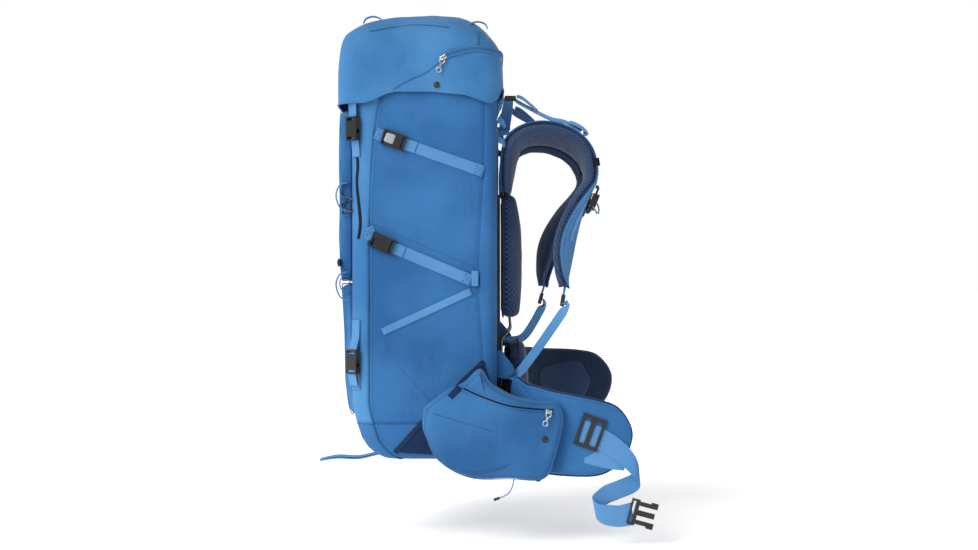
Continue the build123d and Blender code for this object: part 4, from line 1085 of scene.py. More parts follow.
# ---- pockets
@dataclass
class FrontPockets:
    """Two stacked pockets on the front, their gussets, zip and small loops."""

    shop: Workshop
    bag: Bag
    half: float = 104.0
    upper: Pair = (-29.0, -337.0)
    lower: Pair = (-340.0, -577.0)
    face: tuple[Pair, ...] = ((-579, -273), (-558, -278), (-511, -285), (-465, -286), (-428, -287),
        (-372, -291), (-330, -295), (-298, -297), (-260, -299), (-186, -298), (-74, -299), (-40, -297),
        (-29, -295))

    def pocket(self, name: str, ends: Pair, finish: Finish) -> None:
        """One pocket as a bellied cushion on the front panel.

        Args:
            name: Node that it stands for.
            ends: Its top and its foot.
            finish: Its cloth.
        """
        top, foot = ends
        outline = rounded([(-self.half, foot, 0), (self.half, foot, 0), (self.half, top, 0),
            (-self.half, top, 0)], [30, 30, 14, 14], 120, closed=True)

        def place(y: float, z: float, h: float) -> Vector:
            """Lay a flat place on the front panel at a share of the belly."""
            deep = blend_value(self.face, z)
            wall = self.bag.front_at(z)
            side = 1 - 0.05 * (y / self.half) ** 2
            return Vector((wall + (deep - wall) * max(h, 0.0) * side, y, z))

        form = cushion(outline, 0.9, 12, (0.0, 0.1), place).turned()
        piece = self.shop.piece(f"{name}_cloth", form, finish, "pack", [name])
        self.shop.crumple(piece, 0.9, 46)
        rim = [place(p.x * 0.985, (p.y - (top + foot) / 2) * 0.99 + (top + foot) / 2,
            0.8) + Vector((-0.6, 0, 0)) for p in outline]
        self.shop.piece(f"{name}_piping", hoop(rim, 1.8), finish, "pack")

    def gussets(self) -> None:
        """Pleated strips down both edges of the upper pocket."""
        rings = []
        for z in self.bag.levels(-334, -44, 5):
            zig = 2.2 * math.sin(z / 6.5)
            deep = -289 + 1.2 * math.sin(z / 9)
            rings.append([Vector((-267, -104, z)), Vector((-274, -107 - zig * 0.4, z)),
                Vector((-281, -106 + zig * 0.5, z)), Vector((deep, -107 - zig * 0.3, z)),
                Vector((deep, -103, z))])
        self.shop.piece("gusset_cloth", Form().loft(rings).turned().both(), POCKET, "pack",
            ["front_pocket_gussets"])
        centre = Vector((self.bag.front + 32, -118, 0))
        line = []
        for z, turn in ((-52, 44), (-70, 40), (-100, 47), (-130, 38), (-165, 42), (-200, 34), (-236,
                28), (-262, 36)):
            a = math.radians(turn)
            line.append(centre + Vector((-32.6 * math.sin(a), -32.6 * math.cos(a), z)))
        zip_line = flowing(line, 60)
        outs = [Vector((p.x - centre.x, p.y - centre.y, 0)).normalized() for p in zip_line]
        across = [UP.cross(o) for o in outs]
        self.shop.piece("front_zip", ribbon(zip_line, across, 6, 1.4).both(), ZIP, "pack")

    def loops(self) -> None:
        """Small daisy loops, cord loops and hooks down the edge of the pockets."""
        tabs, cords, hooks = Form(), Form(), Form()
        for top in (-161, -193, -327):
            line = flowing([(-274, -107, top), (-288, -110, top - 4), (-291, -111, top - 14), (-288,
                -110, top - 24), (-274, -107, top - 28)], 18)
            tabs.merge(ribbon(line, ACROSS, 5, 1.4))
        for top in (-172, -330):
            line = flowing([(-276, -112, top + 10), (-290, -116, top + 6), (-297, -118, top - 12),
                (-290, -116, top - 34), (-272, -114, top - 42)], 26)
            cords.merge(cord_form(line, 2.6))
        hook = flowing([(-262, -131, -196), (-274, -126, -190), (-282, -122, -204), (-270, -127, -214),
            (-258, -133, -208), (-256, -134, -226)], 26)
        hooks.merge(cord_form(hook, 4.2))
        bead = flowing([(-291, -110, -297), (-293, -110, -303), (-291, -110, -310)], 8)
        hooks.merge(sweep(bead, ACROSS, Section.PAD, 7, 6))
        self.shop.piece("daisy_loops", tabs.both(), WEBBING, "pack")
        self.shop.piece("shock_cord_loops", cords.both(), WEBBING, "pack")
        self.shop.piece("cord_hooks", hooks.both(), PLASTIC, "pack")
        line = flowing([(-222, -60, -645), (-262, -60, -654), (-300, -60, -653), (-331, -60, -659)], 30)
        back = flowing([(-331, -60, -661), (-300, -60, -656.5), (-262, -60, -657.5), (-222, -60,
            -648.5)], 30)
        axe = ribbon(line + back, ACROSS, 20, 2.0)
        self.shop.piece("gear_loop_webbing", axe, WEBBING, "pack", ["gear_loops"])

    def make(self) -> None:
        """Make both pockets and what is sewn to them."""
        self.pocket("front_pocket_upper", self.upper, SHELL)
        self.pocket("front_pocket_lower", self.lower, SHELL)
        self.gussets()
        self.loops()


@dataclass
class SidePockets:
    """Flat stretch pockets low on both sides."""

    shop: Workshop
    bag: Bag
    outline: tuple[Pair, ...] = ((-190, -636), (-137, -581), (-35, -477), (-17, -534), (-17, -593),
        (-52, -642))

    def make(self) -> None:
        """Make the mesh pockets with their hems."""
        flat = rounded([(x, z, 0) for x, z in self.outline], [8, 30, 6, 10, 20, 20], 110, closed=True)

        def place(x: float, z: float, h: float) -> Vector:
            """Lay the mesh over the side panel."""
            return Vector((x, -max(self.bag.side_y(min(x, -40), z), 149.5) - 1.6 - h, z))

        form = cushion(flat, 0.8, 2, (0.0, 1.6), place)
        self.shop.piece("side_pocket_mesh", form.both(), STRETCH, "pack", ["side_pockets"])
        hem = [place(x, z, 0.8) for x, z in ((-190 + 155 * t,
            -636 + 159 * t + 5 * math.sin(t * 3.1)) for t in (i / 30 for i in range(31)))]
        self.shop.piece("side_pocket_hem", ribbon(hem, Vector((0.7, 0, -0.7)), 9, 2.0).both(), BASE,
            "pack")


# ---- side and corner straps
@dataclass
class SideStraps:
    """Compression straps across both sides, with their sewn ends."""

    shop: Workshop
    bag: Bag
    width: float = 20.0
    thick: float = 1.7

    def band(self, a: Pair, b: Pair, width: float, lift: float = 0.0) -> Form:
        """One flat run of webbing on the right side.

        Args:
            a: Start, X and Z.
            b: End, X and Z.
            width: Width of the webbing.
            lift: Extra height over the cloth.

        Returns:
            The band.
        """
        line = [Vector((a[0] + (b[0] - a[0]) * t, 0, a[1] + (b[1] - a[1]) * t)) for t in (i / 24 for i
            in range(25))]
        line = [Vector((p.x, -max(self.bag.side_y(p.x, p.z) + 1.1, 150.6) - lift, p.z)) for p in line]
        run = (line[-1] - line[0]).normalized()
        return ribbon(line, Vector((-run.z, 0, run.x)), width, self.thick)

    def box_stitch(self, at: Pair, run: Vector, length: float) -> Form:
        """Sewn box with a cross at the end of a strap."""
        side = Vector((-run.z, 0, run.x))
        base = Vector((at[0], -max(self.bag.side_y(*at) + 1.1, 150.6) - 1.0, at[1]))
        c = [base + run * (length / 2 * u) + side * (self.width * 0.36 * v) for u, v in ((-1, -1),
            (1, -1), (1, 1), (-1, 1))]
        form = Form()
        for a, b in ((0, 1), (1, 2), (2, 3), (3, 0), (0, 2), (1, 3)):
            form.merge(stitches([c[a], c[b]], Vector((0, -1, 0)), 2.4, 1.6))
        return form

    def make(self) -> None:
        """Make the straps of both sides."""
        bands, sewing = Form(), Form()
        for front, buckle, back in (((-224, -77), (-192, -90), (-35, -145)), ((-238, -243),
                (-212, -270), (-55, -336))):
            run = Vector((back[0] - buckle[0], 0, back[1] - buckle[1])).normalized()
            near = (buckle[0] - run.x * 19, buckle[1] - run.z * 19)
            far = (buckle[0] + run.x * 19, buckle[1] + run.z * 19)
            bands.merge(self.band(front, near, self.width), self.band(far, back, self.width))
            tail = (far[0] + run.x * 22, far[1] + run.z * 22)
            bands.merge(self.band((far[0] - run.x * 3, far[1] - run.z * 3), tail, self.width, 1.9))
            sewing.merge(self.box_stitch((back[0] - run.x * 9, back[1] - run.z * 9), run, 13))
            start = Vector((near[0] - front[0], 0, near[1] - front[1])).normalized()
            sewing.merge(self.box_stitch((front[0] + start.x * 7, front[1] + start.z * 7), start, 9))
        bands.merge(self.band((-50.5, -345), (-50.5, -318), 12, 1.8))
        bands.merge(self.band((-57, -354), (-212, -425), 13))
        self.shop.piece("compression_webbing", bands.both(), WEBBING, "pack", ["compression_straps"])
        self.shop.piece("compression_stitching", sewing.both(), THREAD, "pack")
        face = -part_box("buckle_plugs")[0][1] / MM
        plate = rounded([(-210, -92, 0), (-194, -98, 0), (-188, -82, 0), (-204, -77, 0)], [3] * 4, 40,
            closed=True)
        form = cushion(plate, 0.5, 1.2, (0.0, 0.3), lambda x, z, h: Vector((x, -face - h, z)))
        self.shop.piece("upper_plug_plates", form.both(), GREY_PLASTIC, "pack")
        self.corner_webbing()

    def corner(self, out: float, across: float, z: float) -> Vector:
        """Place on the right front corner, outwards, across and up."""
        r = self.bag.front_radius + out
        d = Vector((-math.cos(math.pi / 4), -math.sin(math.pi / 4), 0))
        side = UP.cross(d)
        centre = Vector((self.bag.front + self.bag.front_radius, -self.bag.half + self.bag.front_radius,
            z))
        return centre + d * r + side * across

    def corner_webbing(self) -> None:
        """Upright webbing that carries the buckles on the front corners."""
        d = Vector((-1, -1, 0)).normalized()
        side = UP.cross(d)
        form, tails = Form(), Form()
        for mouth in (-66.0, -474.0):
            low = mouth - 24.4
            line = [self.corner(o, 0, z) for o, z in ((0.6, low - 28), (1.2, low - 14), (2.6, low - 4),
                (4.5, low + 4))]
            form.merge(ribbon(resample(line, 14), side, 20, 1.7))
        line = [self.corner(o, 0, z) for o, z in ((8.0, -457), (5.5, -446), (2.0, -434), (0.8, -404))]
        form.merge(ribbon(flowing(line, 20), side, 20, 1.7))
        tails.merge(ribbon(flowing([self.corner(o, 0, z) for o, z in ((10.5, -462), (11.5, -478),
            (9.5, -500), (5.0, -520))], 20), side, 20, 1.5))
        self.shop.piece("corner_webbing", form.merge(tails).both(), WEBBING, "pack", ["front_webbing"])
        strap = [self.corner(o, 0, z) for o, z in ((10.4, -6), (10.2, -16), (9.4, -30), (8.4, -46),
            (8.0, -51))]
        lid = ribbon(flowing(strap, 26), side, 20, 1.7)
        self.shop.piece("lid_strap_webbing", lid.both(), WEBBING, "lid", ["lid_straps"])


# ---- the lid
@dataclass
class Lid:
    """Domed lid with its floor, zip, loops and snaps."""

    shop: Workshop
    fronts: tuple[Pair, ...] = ((-30, -296), (0, -295), (37, -295), (78, -291), (102, -284), (115,
        -268), (130, -238), (143, -205), (148, -188), (152, -164))
    rears: tuple[Pair, ...] = ((-30, -1), (15, 0), (46, -1), (62, -4), (78, -9), (102, -24), (115, -35),
        (130, -55), (143, -76), (148, -88), (152, -108))
    widths: tuple[Pair, ...] = ((-30, 158), (37, 158), (78, 156), (102, 149), (112, 142), (124, 128),
        (132, 108), (138, 86), (143, 62), (148, 38), (152, 16))
    powers: tuple[Pair, ...] = ((0, 8.0), (78, 7.0), (115, 5.0), (143, 3.4), (152, 2.6))
    edge: tuple[Pair, ...] = ((-300, -26), (-244, -26), (-226, -20), (-206, -10), (-190, -6), (-125,
        -6), (-66, -12), (-24, -27), (-10, -16), (-3, 4), (10, 5))

    def row(self, z: float, count: int = 150) -> list[Vector]:
        """Closed row of the dome at a height."""
        f, r, w = (smooth_value(t, z) for t in (self.fronts, self.rears, self.widths))
        p, a, c = blend_value(self.powers, z), (r - f) / 2, (r + f) / 2
        dense = []
        for i in range(720):
            t = 2 * math.pi * i / 720
            x, y = math.cos(t), math.sin(t)
            q = (abs(x) ** p + abs(y) ** p) ** (-1 / p)
            dense.append(Vector((c + a * q * x, w * q * y, z)))
        return resample(dense, count, closed=True)

    def side_y(self, x: float, z: float) -> float:
        """Distance of the dome's side from the middle at a place."""
        f, r, w = (smooth_value(t, z) for t in (self.fronts, self.rears, self.widths))
        p, a, c = blend_value(self.powers, z), (r - f) / 2, (r + f) / 2
        return w * max(1 - min(abs((x - c) / a), 1.0) ** p, 0.0) ** (1 / p)

    def crown_z(self, x: float, y: float) -> float:
        """Height of the dome over a place."""
        low, high = 40.0, 153.0
        for _ in range(30):
            mid = (low + high) / 2
            if self.side_y(x, mid) >= abs(y):
                low = mid
            else:
                high = mid
        return low

    def shell(self) -> None:
        """The domed shell with its wavy lower edge."""
        rows = []
        start = self.row(18)
        for t in (0.0, 0.05, 0.35, 0.7):
            ring = []
            for p in start:
                z = blend_value(self.edge, p.x)
                ring.append(Vector((p.x, p.y, z + (18 - z) * t)))
            rows.append(ring)
        heights = [18, 28, 38, 48, 58, 68, 76, 84, 90, 96, 102, 107, 112, 117, 122, 127, 132, 136, 140,
            143, 146, 148, 150, 152]
        rows += [self.row(z) for z in heights]
        crown, tip_x = rows[-1], -136
        for s, z in ((0.75, 153.0), (0.45, 153.7), (0.15, 154.0), (0.02, 154.0)):
            rows.append([Vector((tip_x + (p.x - tip_x) * s, p.y * s, z)) for p in crown])
        piece = self.shop.piece("lid_cloth", Form().loft(rows, ends=False).plug(True, len(crown)),
            SHELL, "lid", ["lid_shell"])
        self.shop.crumple(piece, 1.8, 60, lambda at: 0.25 + 0.75 * min(max((at.z - 10) / 60, 0.0), 1.0))
        self.shop.thicken(piece, 1.6)
        hem = [p + Vector((0, 0, 1.2)) for p in rows[0]]
        self.shop.piece("lid_hem", hoop(hem, 3.0), SHELL, "lid")
        inner = [Vector((p.x * 0.97 - 4, p.y * 0.97, 6.5)) for p in self.row(18)]
        centre = Vector((-148, 0, 4.5))
        floor = [[centre.lerp(p, s) for p in inner] for s in (0.02, 0.35, 0.7, 1.0)]
        cloth = self.shop.piece("lid_floor_cloth", Form().loft(floor, ends=False) .plug(False,
            len(inner)), LINING, "lid", ["lid_floor"])
        self.shop.thicken(cloth, 1.2)

    def zip_line(self) -> tuple[list[Vector], list[Vector]]:
        """Line of the zip round the back of the lid and its outward directions."""
        known = ((-106, 54), (-90, 60), (-75, 64), (-55, 68), (-40, 69), (-17, 66), (-6, 64), (0, 63))
        line = []
        for p in self.row(62, 300):
            if p.x >= -106:
                z = blend_value(known, p.x)
                ring_w = self.side_y(min(p.x, -6), z) / max(self.side_y(min(p.x, -6), 62), 1)
                line.append(Vector((p.x, p.y * ring_w, z)))
        line.sort(key=lambda p: math.atan2(p.y, p.x + 140))
        line = resample(line, 90)
        outs = []
        for i, p in enumerate(line):
            run = line[min(i + 1, 89)] - line[max(i - 1, 0)]
            outs.append(run.cross(UP).normalized())
        return line, outs

    def trims(self) -> None:
        """Zip, painted seam shade lines, loops and snaps of the lid."""
        line, outs = self.zip_line()
        lifted = [p + o * 1.6 for p, o in zip(line, outs)]
        up = [UP] * len(line)
        self.shop.piece("lid_zip_tape", ribbon(lifted, up, 9, 1.4), SHELL, "lid", ["lid_zip"])
        teeth = [p + o * 2.5 for p, o in zip(line, outs)]
        self.shop.piece("lid_zip_teeth", ribbon(teeth, up, 2.6, 1.2), SEAM_SHADE, "lid")
        flap = [p + o * 3.0 + Vector((0, 0, 4.6)) for p, o in zip(line, outs)]
        self.shop.piece("lid_zip_flap", cord_form(flap, 2.0), SHELL, "lid")
        # Darker cords along the lid's seams: painted seam shade.
        seams = Form()
        for points in (((-106, 52), (-134, 28), (-165, 14), (-193, -2)), ((-45, 104), (-45, 71)),
                ((-235, 101), (-165, 113), (-120, 112), (-96, 108))):
            flat = flowing([(x, 0, z) for x, z in points], 30)
            seams.merge(cord_form([Vector((p.x, -self.side_y(p.x, p.z) - 0.7, p.z)) for p in flat],
                1.4))
        self.shop.piece("lid_seam_shades", seams.both(), SEAM_SHADE, "lid")
        body = Form()
        slide = [Vector((-111, -self.side_y(-106, 52) - 3.4, 50)),
            Vector((-100, -self.side_y(-100, 56) - 3.4, 56))]
        body.merge(sweep(resample(slide, 8), Vector((-0.45, 0, 0.9)), Section.PAD, 8, 3.4))
        self.shop.piece("lid_zip_slider", body, SILVER, "lid")
        loops = Form()
        for x in (-231, -46):
            z = self.crown_z(x, 118)
            arch = flowing([(x - 17, -118, z - 3), (x - 13, -118, z + 5), (x, -118, z + 9), (x + 13,
                -118, z + 5), (x + 17, -118, z - 3)], 24)
            loops.merge(ribbon(arch, ACROSS, 10, 1.8))
        self.shop.piece("lid_loop_webbing", loops.both(), WEBBING, "lid", ["lid_loops_and_snaps"])
        self.shop.piece("lid_snaps", snap(Vector((-117, -self.side_y(-117, 5.5), 5.5))).both(), PLASTIC,
            "lid")

    def make(self) -> None:
        """Make the whole lid."""
        self.shell()
        self.trims()


def snap(at: Vector, radius: float = 5.5) -> Form:
    """Small domed snap that faces out of the right side.

    Args:
        at: Middle of its foot.
        radius: Its radius.

    Returns:
        The snap.
    """
    rings = []
    for r, h in ((1.0, 0.0), (1.0, 1.2), (0.92, 1.8), (0.7, 2.0), (0.62, 1.6), (0.5, 1.7), (0.3, 2.3),
            (0.05, 2.5)):
        rings.append([at + Vector((radius * r * math.cos(t), -h,
            radius * r * math.sin(t))) for t in (2 * math.pi * i / 20 for i in range(20))])
    return Form().loft(rings)


# ---- the back
@dataclass
class BackSystem:
    """Pads, tabs, haul loop and lower webbing on the back of the bag."""

    shop: Workshop
    pad_top: float = -181.0
    pad_foot: float = -402.0
    pad_inner: float = 20.0
    pad_outer: float = 92.0

    def pads(self) -> None:
        """Two long mesh pads with a stitched channel down each edge."""
        outline = rounded([(-self.pad_outer, self.pad_foot, 0), (-self.pad_inner, self.pad_foot, 0),
            (-self.pad_inner, self.pad_top, 0), (-self.pad_outer, self.pad_top, 0)], [24, 24, 16, 16],
            110, closed=True)

        def place(y: float, z: float, h: float) -> Vector:
            """Stand the pad on the back sheet, thicker towards its foot."""
            share = min(max((self.pad_top - z) / 60, 0.0), 1.0)
            deep = 29 + 8 * share
            return Vector((-5.8 + deep * (h + 0.5), y, z))

        right = cushion(outline, 0.44, 11, (0.0, 0.07), place)
        for name, form in (("right", right), ("left", right.mirrored())):
            pad = self.shop.piece(f"back_pad_{name}", form, MESH, "pack",
                ["back_pads"] if name == "right" else [])
            self.shop.puff(pad, 2.5, lambda at: at.x < -2)
        rim = [place(p.x, p.y, -0.36) for p in outline]
        self.shop.piece("back_pad_binding", hoop(rim, 2.6).both(), BINDING, "pack")

    def tabs(self) -> None:
        """Lid tongue, lifter anchors and haul loop tabs."""
        form = Form()
        tongue = flowing([(-11, 0, -27), (-10, 0, -16), (-3, 0, -7), (-1.2, 0, 3)], 16)
        form.merge(ribbon(tongue, ACROSS, 150, 2.0))
        for y in (-90, 90):
            lifter = flowing([(-11, y, -40), (-8.5, y, -27), (2.5, y, -9)], 12)
            form.merge(ribbon(lifter, ACROSS, 20, 2.2))
        for y in (-36, 36):
            tab = [Vector((-11, y, -60)), Vector((0, y, -58)), Vector((12, y, -55))]
            form.merge(sweep(resample(tab, 8), ACROSS, Section.PAD, 12, 10))
        self.shop.piece("back_tab_webbing", form, WEBBING, "pack", ["back_tabs"])
        lock = Form()
        for z in (-52, -86):
            strap = [Vector((-11, -128, z)), Vector((-2, -126, z - 4)), Vector((2, -122, z - 12))]
            lock.merge(ribbon(flowing(strap, 10), Vector((0, 0.5, 1)), 13, 1.8))
        self.shop.piece("back_edge_webbing", lock.both(), WEBBING, "pack")

    def haul(self) -> None:
        """Haul loop of doubled webbing with sewn feet."""
        lean = math.atan2(8.0, 52.0)
        path = rounded([(0, -36, -52), (0, -36, -3), (0, 36, -3), (0, 36, -52)], [12, 12], 60)
        turned = []
        for p in path:
            up = p.z + 52
            turned.append(Vector((3 + up * math.sin(lean), p.y, -52 + up * math.cos(lean))))
        across = Vector((math.cos(lean), 0, -math.sin(lean)))
        self.shop.piece("haul_loop_webbing", ribbon(turned, across,
            lambda t: 20 - 7 * math.sin(math.pi * t) ** 4, 3.2), WEBBING, "haul_loop", ["haul_loop"])
        edge = [p + across * 7 for p in turned[8:18]]
        rows = Form().merge(stitches(edge, Vector((0, -1, 0)), 2.6, 1.8),
            stitches([p - across * 14 for p in edge], Vector((0, -1, 0)), 2.6, 1.8))
        self.shop.piece("haul_loop_stitching", rows, THREAD, "haul_loop")

    def lower(self) -> None:
        """Webbing from the foot of the bag up to each shoulder strap's lock."""
        for name, side, anchor, lock in (("right", -1, (31, -498), (104, -384)), ("left", 1, (42, -449),
                (74, -384))):
            y = 119.5 * side
            start = [(-12, y, anchor[1] - 6), (6, y, anchor[1] - 4), (anchor[0], y, anchor[1] + 4)]
            end = [(lock[0] + 2, y * 0.93, lock[1] - 6), (lock[0] + 5, y * 0.82, lock[1] + 6)]
            line = flowing(start + end, 50)
            turns = []
            for i in range(50):
                share = math.radians(68) * min(i / 9, (49 - i) / 7, 1.0)
                run = (line[min(i + 1, 49)] - line[max(i - 1, 0)]).normalized()
                turns.append(Vector((0, math.cos(share), 0)) + run.cross(ACROSS) * math.sin(share) *
                    -side)
            form = ribbon(line, turns, 17, 1.8)
            piece = self.shop.piece(f"lower_webbing_{name}", form, WEBBING, None,
                ["lower_webbing"] if name == "right" else [])
            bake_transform(piece)
        wing = Form()
        outline = rounded([(-14, -448, 0), (16, -484, 0), (21, -498, 0), (6, -510, 0), (-14, -506, 0)],
            [20, 16, 8, 8, 6], 60, closed=True)
        wing.merge(cushion(outline, 1.6, 3, (0, 0.5), lambda x, z, h: Vector((x, -126 - h, z))))
        twin = wing.mirrored()
        twin.points = [p + Vector((0, 0, 45)) for p in twin.points]
        self.shop.piece("corner_wings", wing.merge(twin), SIDE, "pack")

    def make(self) -> None:
        """Make what sits on the back of the bag."""
        self.pads()
        self.tabs()
        self.haul()
        self.lower()


# ---- the harness
@dataclass
class Harness:
    """Yoke, shoulder straps, lifters and chest strap."""

    shop: Workshop
    inner: float = 58.0
    width: float = 65.0
    route: tuple[Pair, ...] = ((2, -177), (2, -128), (8, -92), (22, -75), (45, -64), (74, -61), (104,
        -67), (132, -82), (150, -103), (158, -128), (158, -152), (147, -184), (133, -222), (123, -262),
        (117, -305), (110, -347))
    left_shift: float = -30.0
    twist: tuple[Pair, ...] = ((0.0, 0), (0.14, 14), (0.3, 22), (0.46, 20), (0.6, 2), (0.72, -16),
        (0.86, -28), (0.95, -18), (1.0, 0))

    def middle(self, left: bool) -> list[Vector]:
        """Middle line of a shoulder strap in the side plane."""
        points = [list(p) for p in self.route]
        if left:
            for i, share in ((-5, 0.12), (-4, 0.36), (-3, 0.6), (-2, 0.82), (-1, 1.0)):
                points[i][0] += self.left_shift * share
        return flowing([(x, 0, z) for x, z in points], 110)

    def strap(self, left: bool) -> None:
        """One shoulder strap: mesh lining, outer cover and bound edges."""
        line = self.middle(left)
        y = (self.inner + self.width / 2) * (1 if left else -1)
        name = "left" if left else "right"
        across = ACROSS
        frames, turns, mid = [], [], []
        for i, p in enumerate(line):
            run = (line[min(i + 1, 109)] - line[max(i - 1, 0)]).normalized()
            out = across.cross(run) * -1.0
            lean = math.radians(smooth_value(self.twist, i / 109))
            roll = lean if left else -lean
            turns.append(across * math.cos(roll) + out * math.sin(roll))
            frames.append(out * math.cos(roll) - across * math.sin(roll))
            mid.append(p + Vector((0, y, 0)) - out * abs(math.sin(lean)) * self.width * 0.38)

        def width(t: float) -> float:
            """Width of the strap, narrower at its foot."""
            return self.width * (1 - 0.42 * max(0.0, (t - 0.78) / 0.22) ** 1.6) - 1

        def full(t: float) -> float:
            """Thickness of the strap, thinner at both ends."""
            return 1 - 0.35 * max(0.0, (t - 0.86) / 0.14) - 0.2 * max(0.0, (0.06 - t) / 0.06)

        lining_line = [p - f * 4.8 for p, f in zip(mid, frames)]
        lining = sweep(lining_line, turns, Section.PAD, lambda t: width(t) * 0.99,
            lambda t: 19.0 * full(t))
        pad = self.shop.piece(f"shoulder_lining_{name}", lining, STRAP_MESH, "harness",
            ["shoulder_linings"] if not left else [])
        self.shop.puff(pad, 2.0, lambda at, y=y, w=self.width: abs(abs(at.y - y) - w / 2) < 2.2)
        cover_line = [p + f * 6.6 for p, f in zip(mid, frames)]
        cover = sweep(cover_line, turns, Section.PAD, width, lambda t: 5.6 * full(t))
        self.shop.piece(f"shoulder_cover_{name}", cover, SHELL, "harness",
            ["shoulder_covers"] if not left else [])
        binding = Form()
        for edge in (-1, 1):
            rim = [p + f * 4.6 + turns[i] * edge * (width(i / 109) / 2 - 0.6) for i, (p,
                f) in enumerate(zip(mid, frames))]
            binding.merge(cord_form(rim, 3.0))
            row = [p + f * (9.3 * full(i / 109)) + turns[i] * edge * (width(i / 109) / 2 - 9) for i, (p,
                f) in enumerate(zip(mid, frames))][14:104]
            self.shop.piece(f"shoulder_stitches_{name}_{'a' if edge < 0 else 'b'}", stitches(row,
                frames[60]), THREAD, "harness")
        self.shop.piece(f"shoulder_binding_{name}", binding, BINDING, "harness")
        rail = [p + f * 10.2 for p, f in zip(mid, frames)][40:92]
        self.shop.piece(f"shoulder_daisy_{name}", ribbon(rail, turns[40:92], 15, 1.6), WEBBING,
            "harness")
        near = min(range(20, 100), key=lambda i: (line[i] - Vector((158, 0, -128))).length)
        keeper = mid[near] + frames[near] * 5.2
        run = (line[near + 1] - line[near - 1]).normalized()
        patch = ribbon([keeper - run * 7, keeper, keeper + run * 7], turns[near], self.width + 1, 12.0)
        self.shop.piece(f"shoulder_keeper_{name}", patch, ZIP, "harness")
        tab_start, tab_run = line[109] + Vector((0, y, 0)), (line[109] - line[105]).normalized()
        tab = ribbon([tab_start - tab_run * 10, tab_start, tab_start + tab_run * 12,
            tab_start + tab_run * 16], across, 22, 3.2)
        self.shop.piece(f"strap_end_{name}", tab, WEBBING, "harness",
            ["harness_webbing"] if not left else [])

    def lifters(self) -> None:
        """Load lifter webbing from each strap up to its adjuster."""
        for side, name in ((-1, "right"), (1, "left")):
            y = 90 * side
            points = [(20, y, -11), (30, y, -18), (62, y, -35), (86, y, -46), (112, y, -52), (140, y,
                -67)]
            form = ribbon(flowing(points, 46), Vector((0, 1, 0.5 * -side)), 19, 1.8)
            piece = self.shop.piece(f"load_lifter_{name}", form, WEBBING, None)
            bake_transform(piece)
            tail = flowing([(24, y, -5), (34, y, -9), (48, y, -20), (60, y, -31)], 20)
            self.shop.piece(f"load_lifter_tail_{name}", ribbon(tail, Vector((0, 1, 0.5 * -side)), 17,
                1.4), WEBBING, "pack")
            fold = flowing([(118, y, -52), (130, y, -56), (142, y, -63), (150, y, -72), (143, y, -72)],
                20)
            self.shop.piece(f"load_lifter_fold_{name}", ribbon(fold, Vector((0, 1, 0.4 * -side)), 21,
                3.0), WEBBING, "harness")

    def chest(self) -> None:
        """Webbing of the chest strap between its sliders."""
        low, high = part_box("sternum_webbing")
        x = (low[0] + high[0]) / 2 / MM
        z = (low[2] + high[2]) / 2 / MM
        down = Vector((-0.365, 0, -0.931))
        form = Form()
        bow = [Vector((x + 1.2 * math.sin(math.pi * t), -70 + 140 * t,
            z - 3 * math.sin(math.pi * t))) for t in (i / 30 for i in range(31))]
        form.merge(ribbon(bow, down, 18, 1.8))
        loop = flowing([(x + 3, -62, z - 4), (x + 6, -63, z - 14), (x + 4, -64, z - 22), (x - 2, -63,
            z - 14)], 20)
        form.merge(ribbon(loop, ACROSS, 14, 1.6))
        self.shop.piece("chest_webbing", form, WEBBING, "sternum_strap", ["sternum_webbing"])

    def yoke(self) -> None:
        """Padded yoke that joins the two straps on the back."""
        outline = rounded([(-57, -176, 0), (57, -176, 0), (57, -97, 0), (-57, -97, 0)], [8, 8, 18, 18],
            90, closed=True)
        form = cushion(outline, 3.6, 4, (0.0, 0.8), lambda y, z, h: Vector((-1.4 + h, y, z)))
        pad = self.shop.piece("yoke_pad", form, FINE_MESH, "harness", ["harness_yoke"])

    def make(self) -> None:
        """Make the harness."""
        self.strap(False)
        self.strap(True)
        self.lifters()
        self.chest()
        self.yoke()


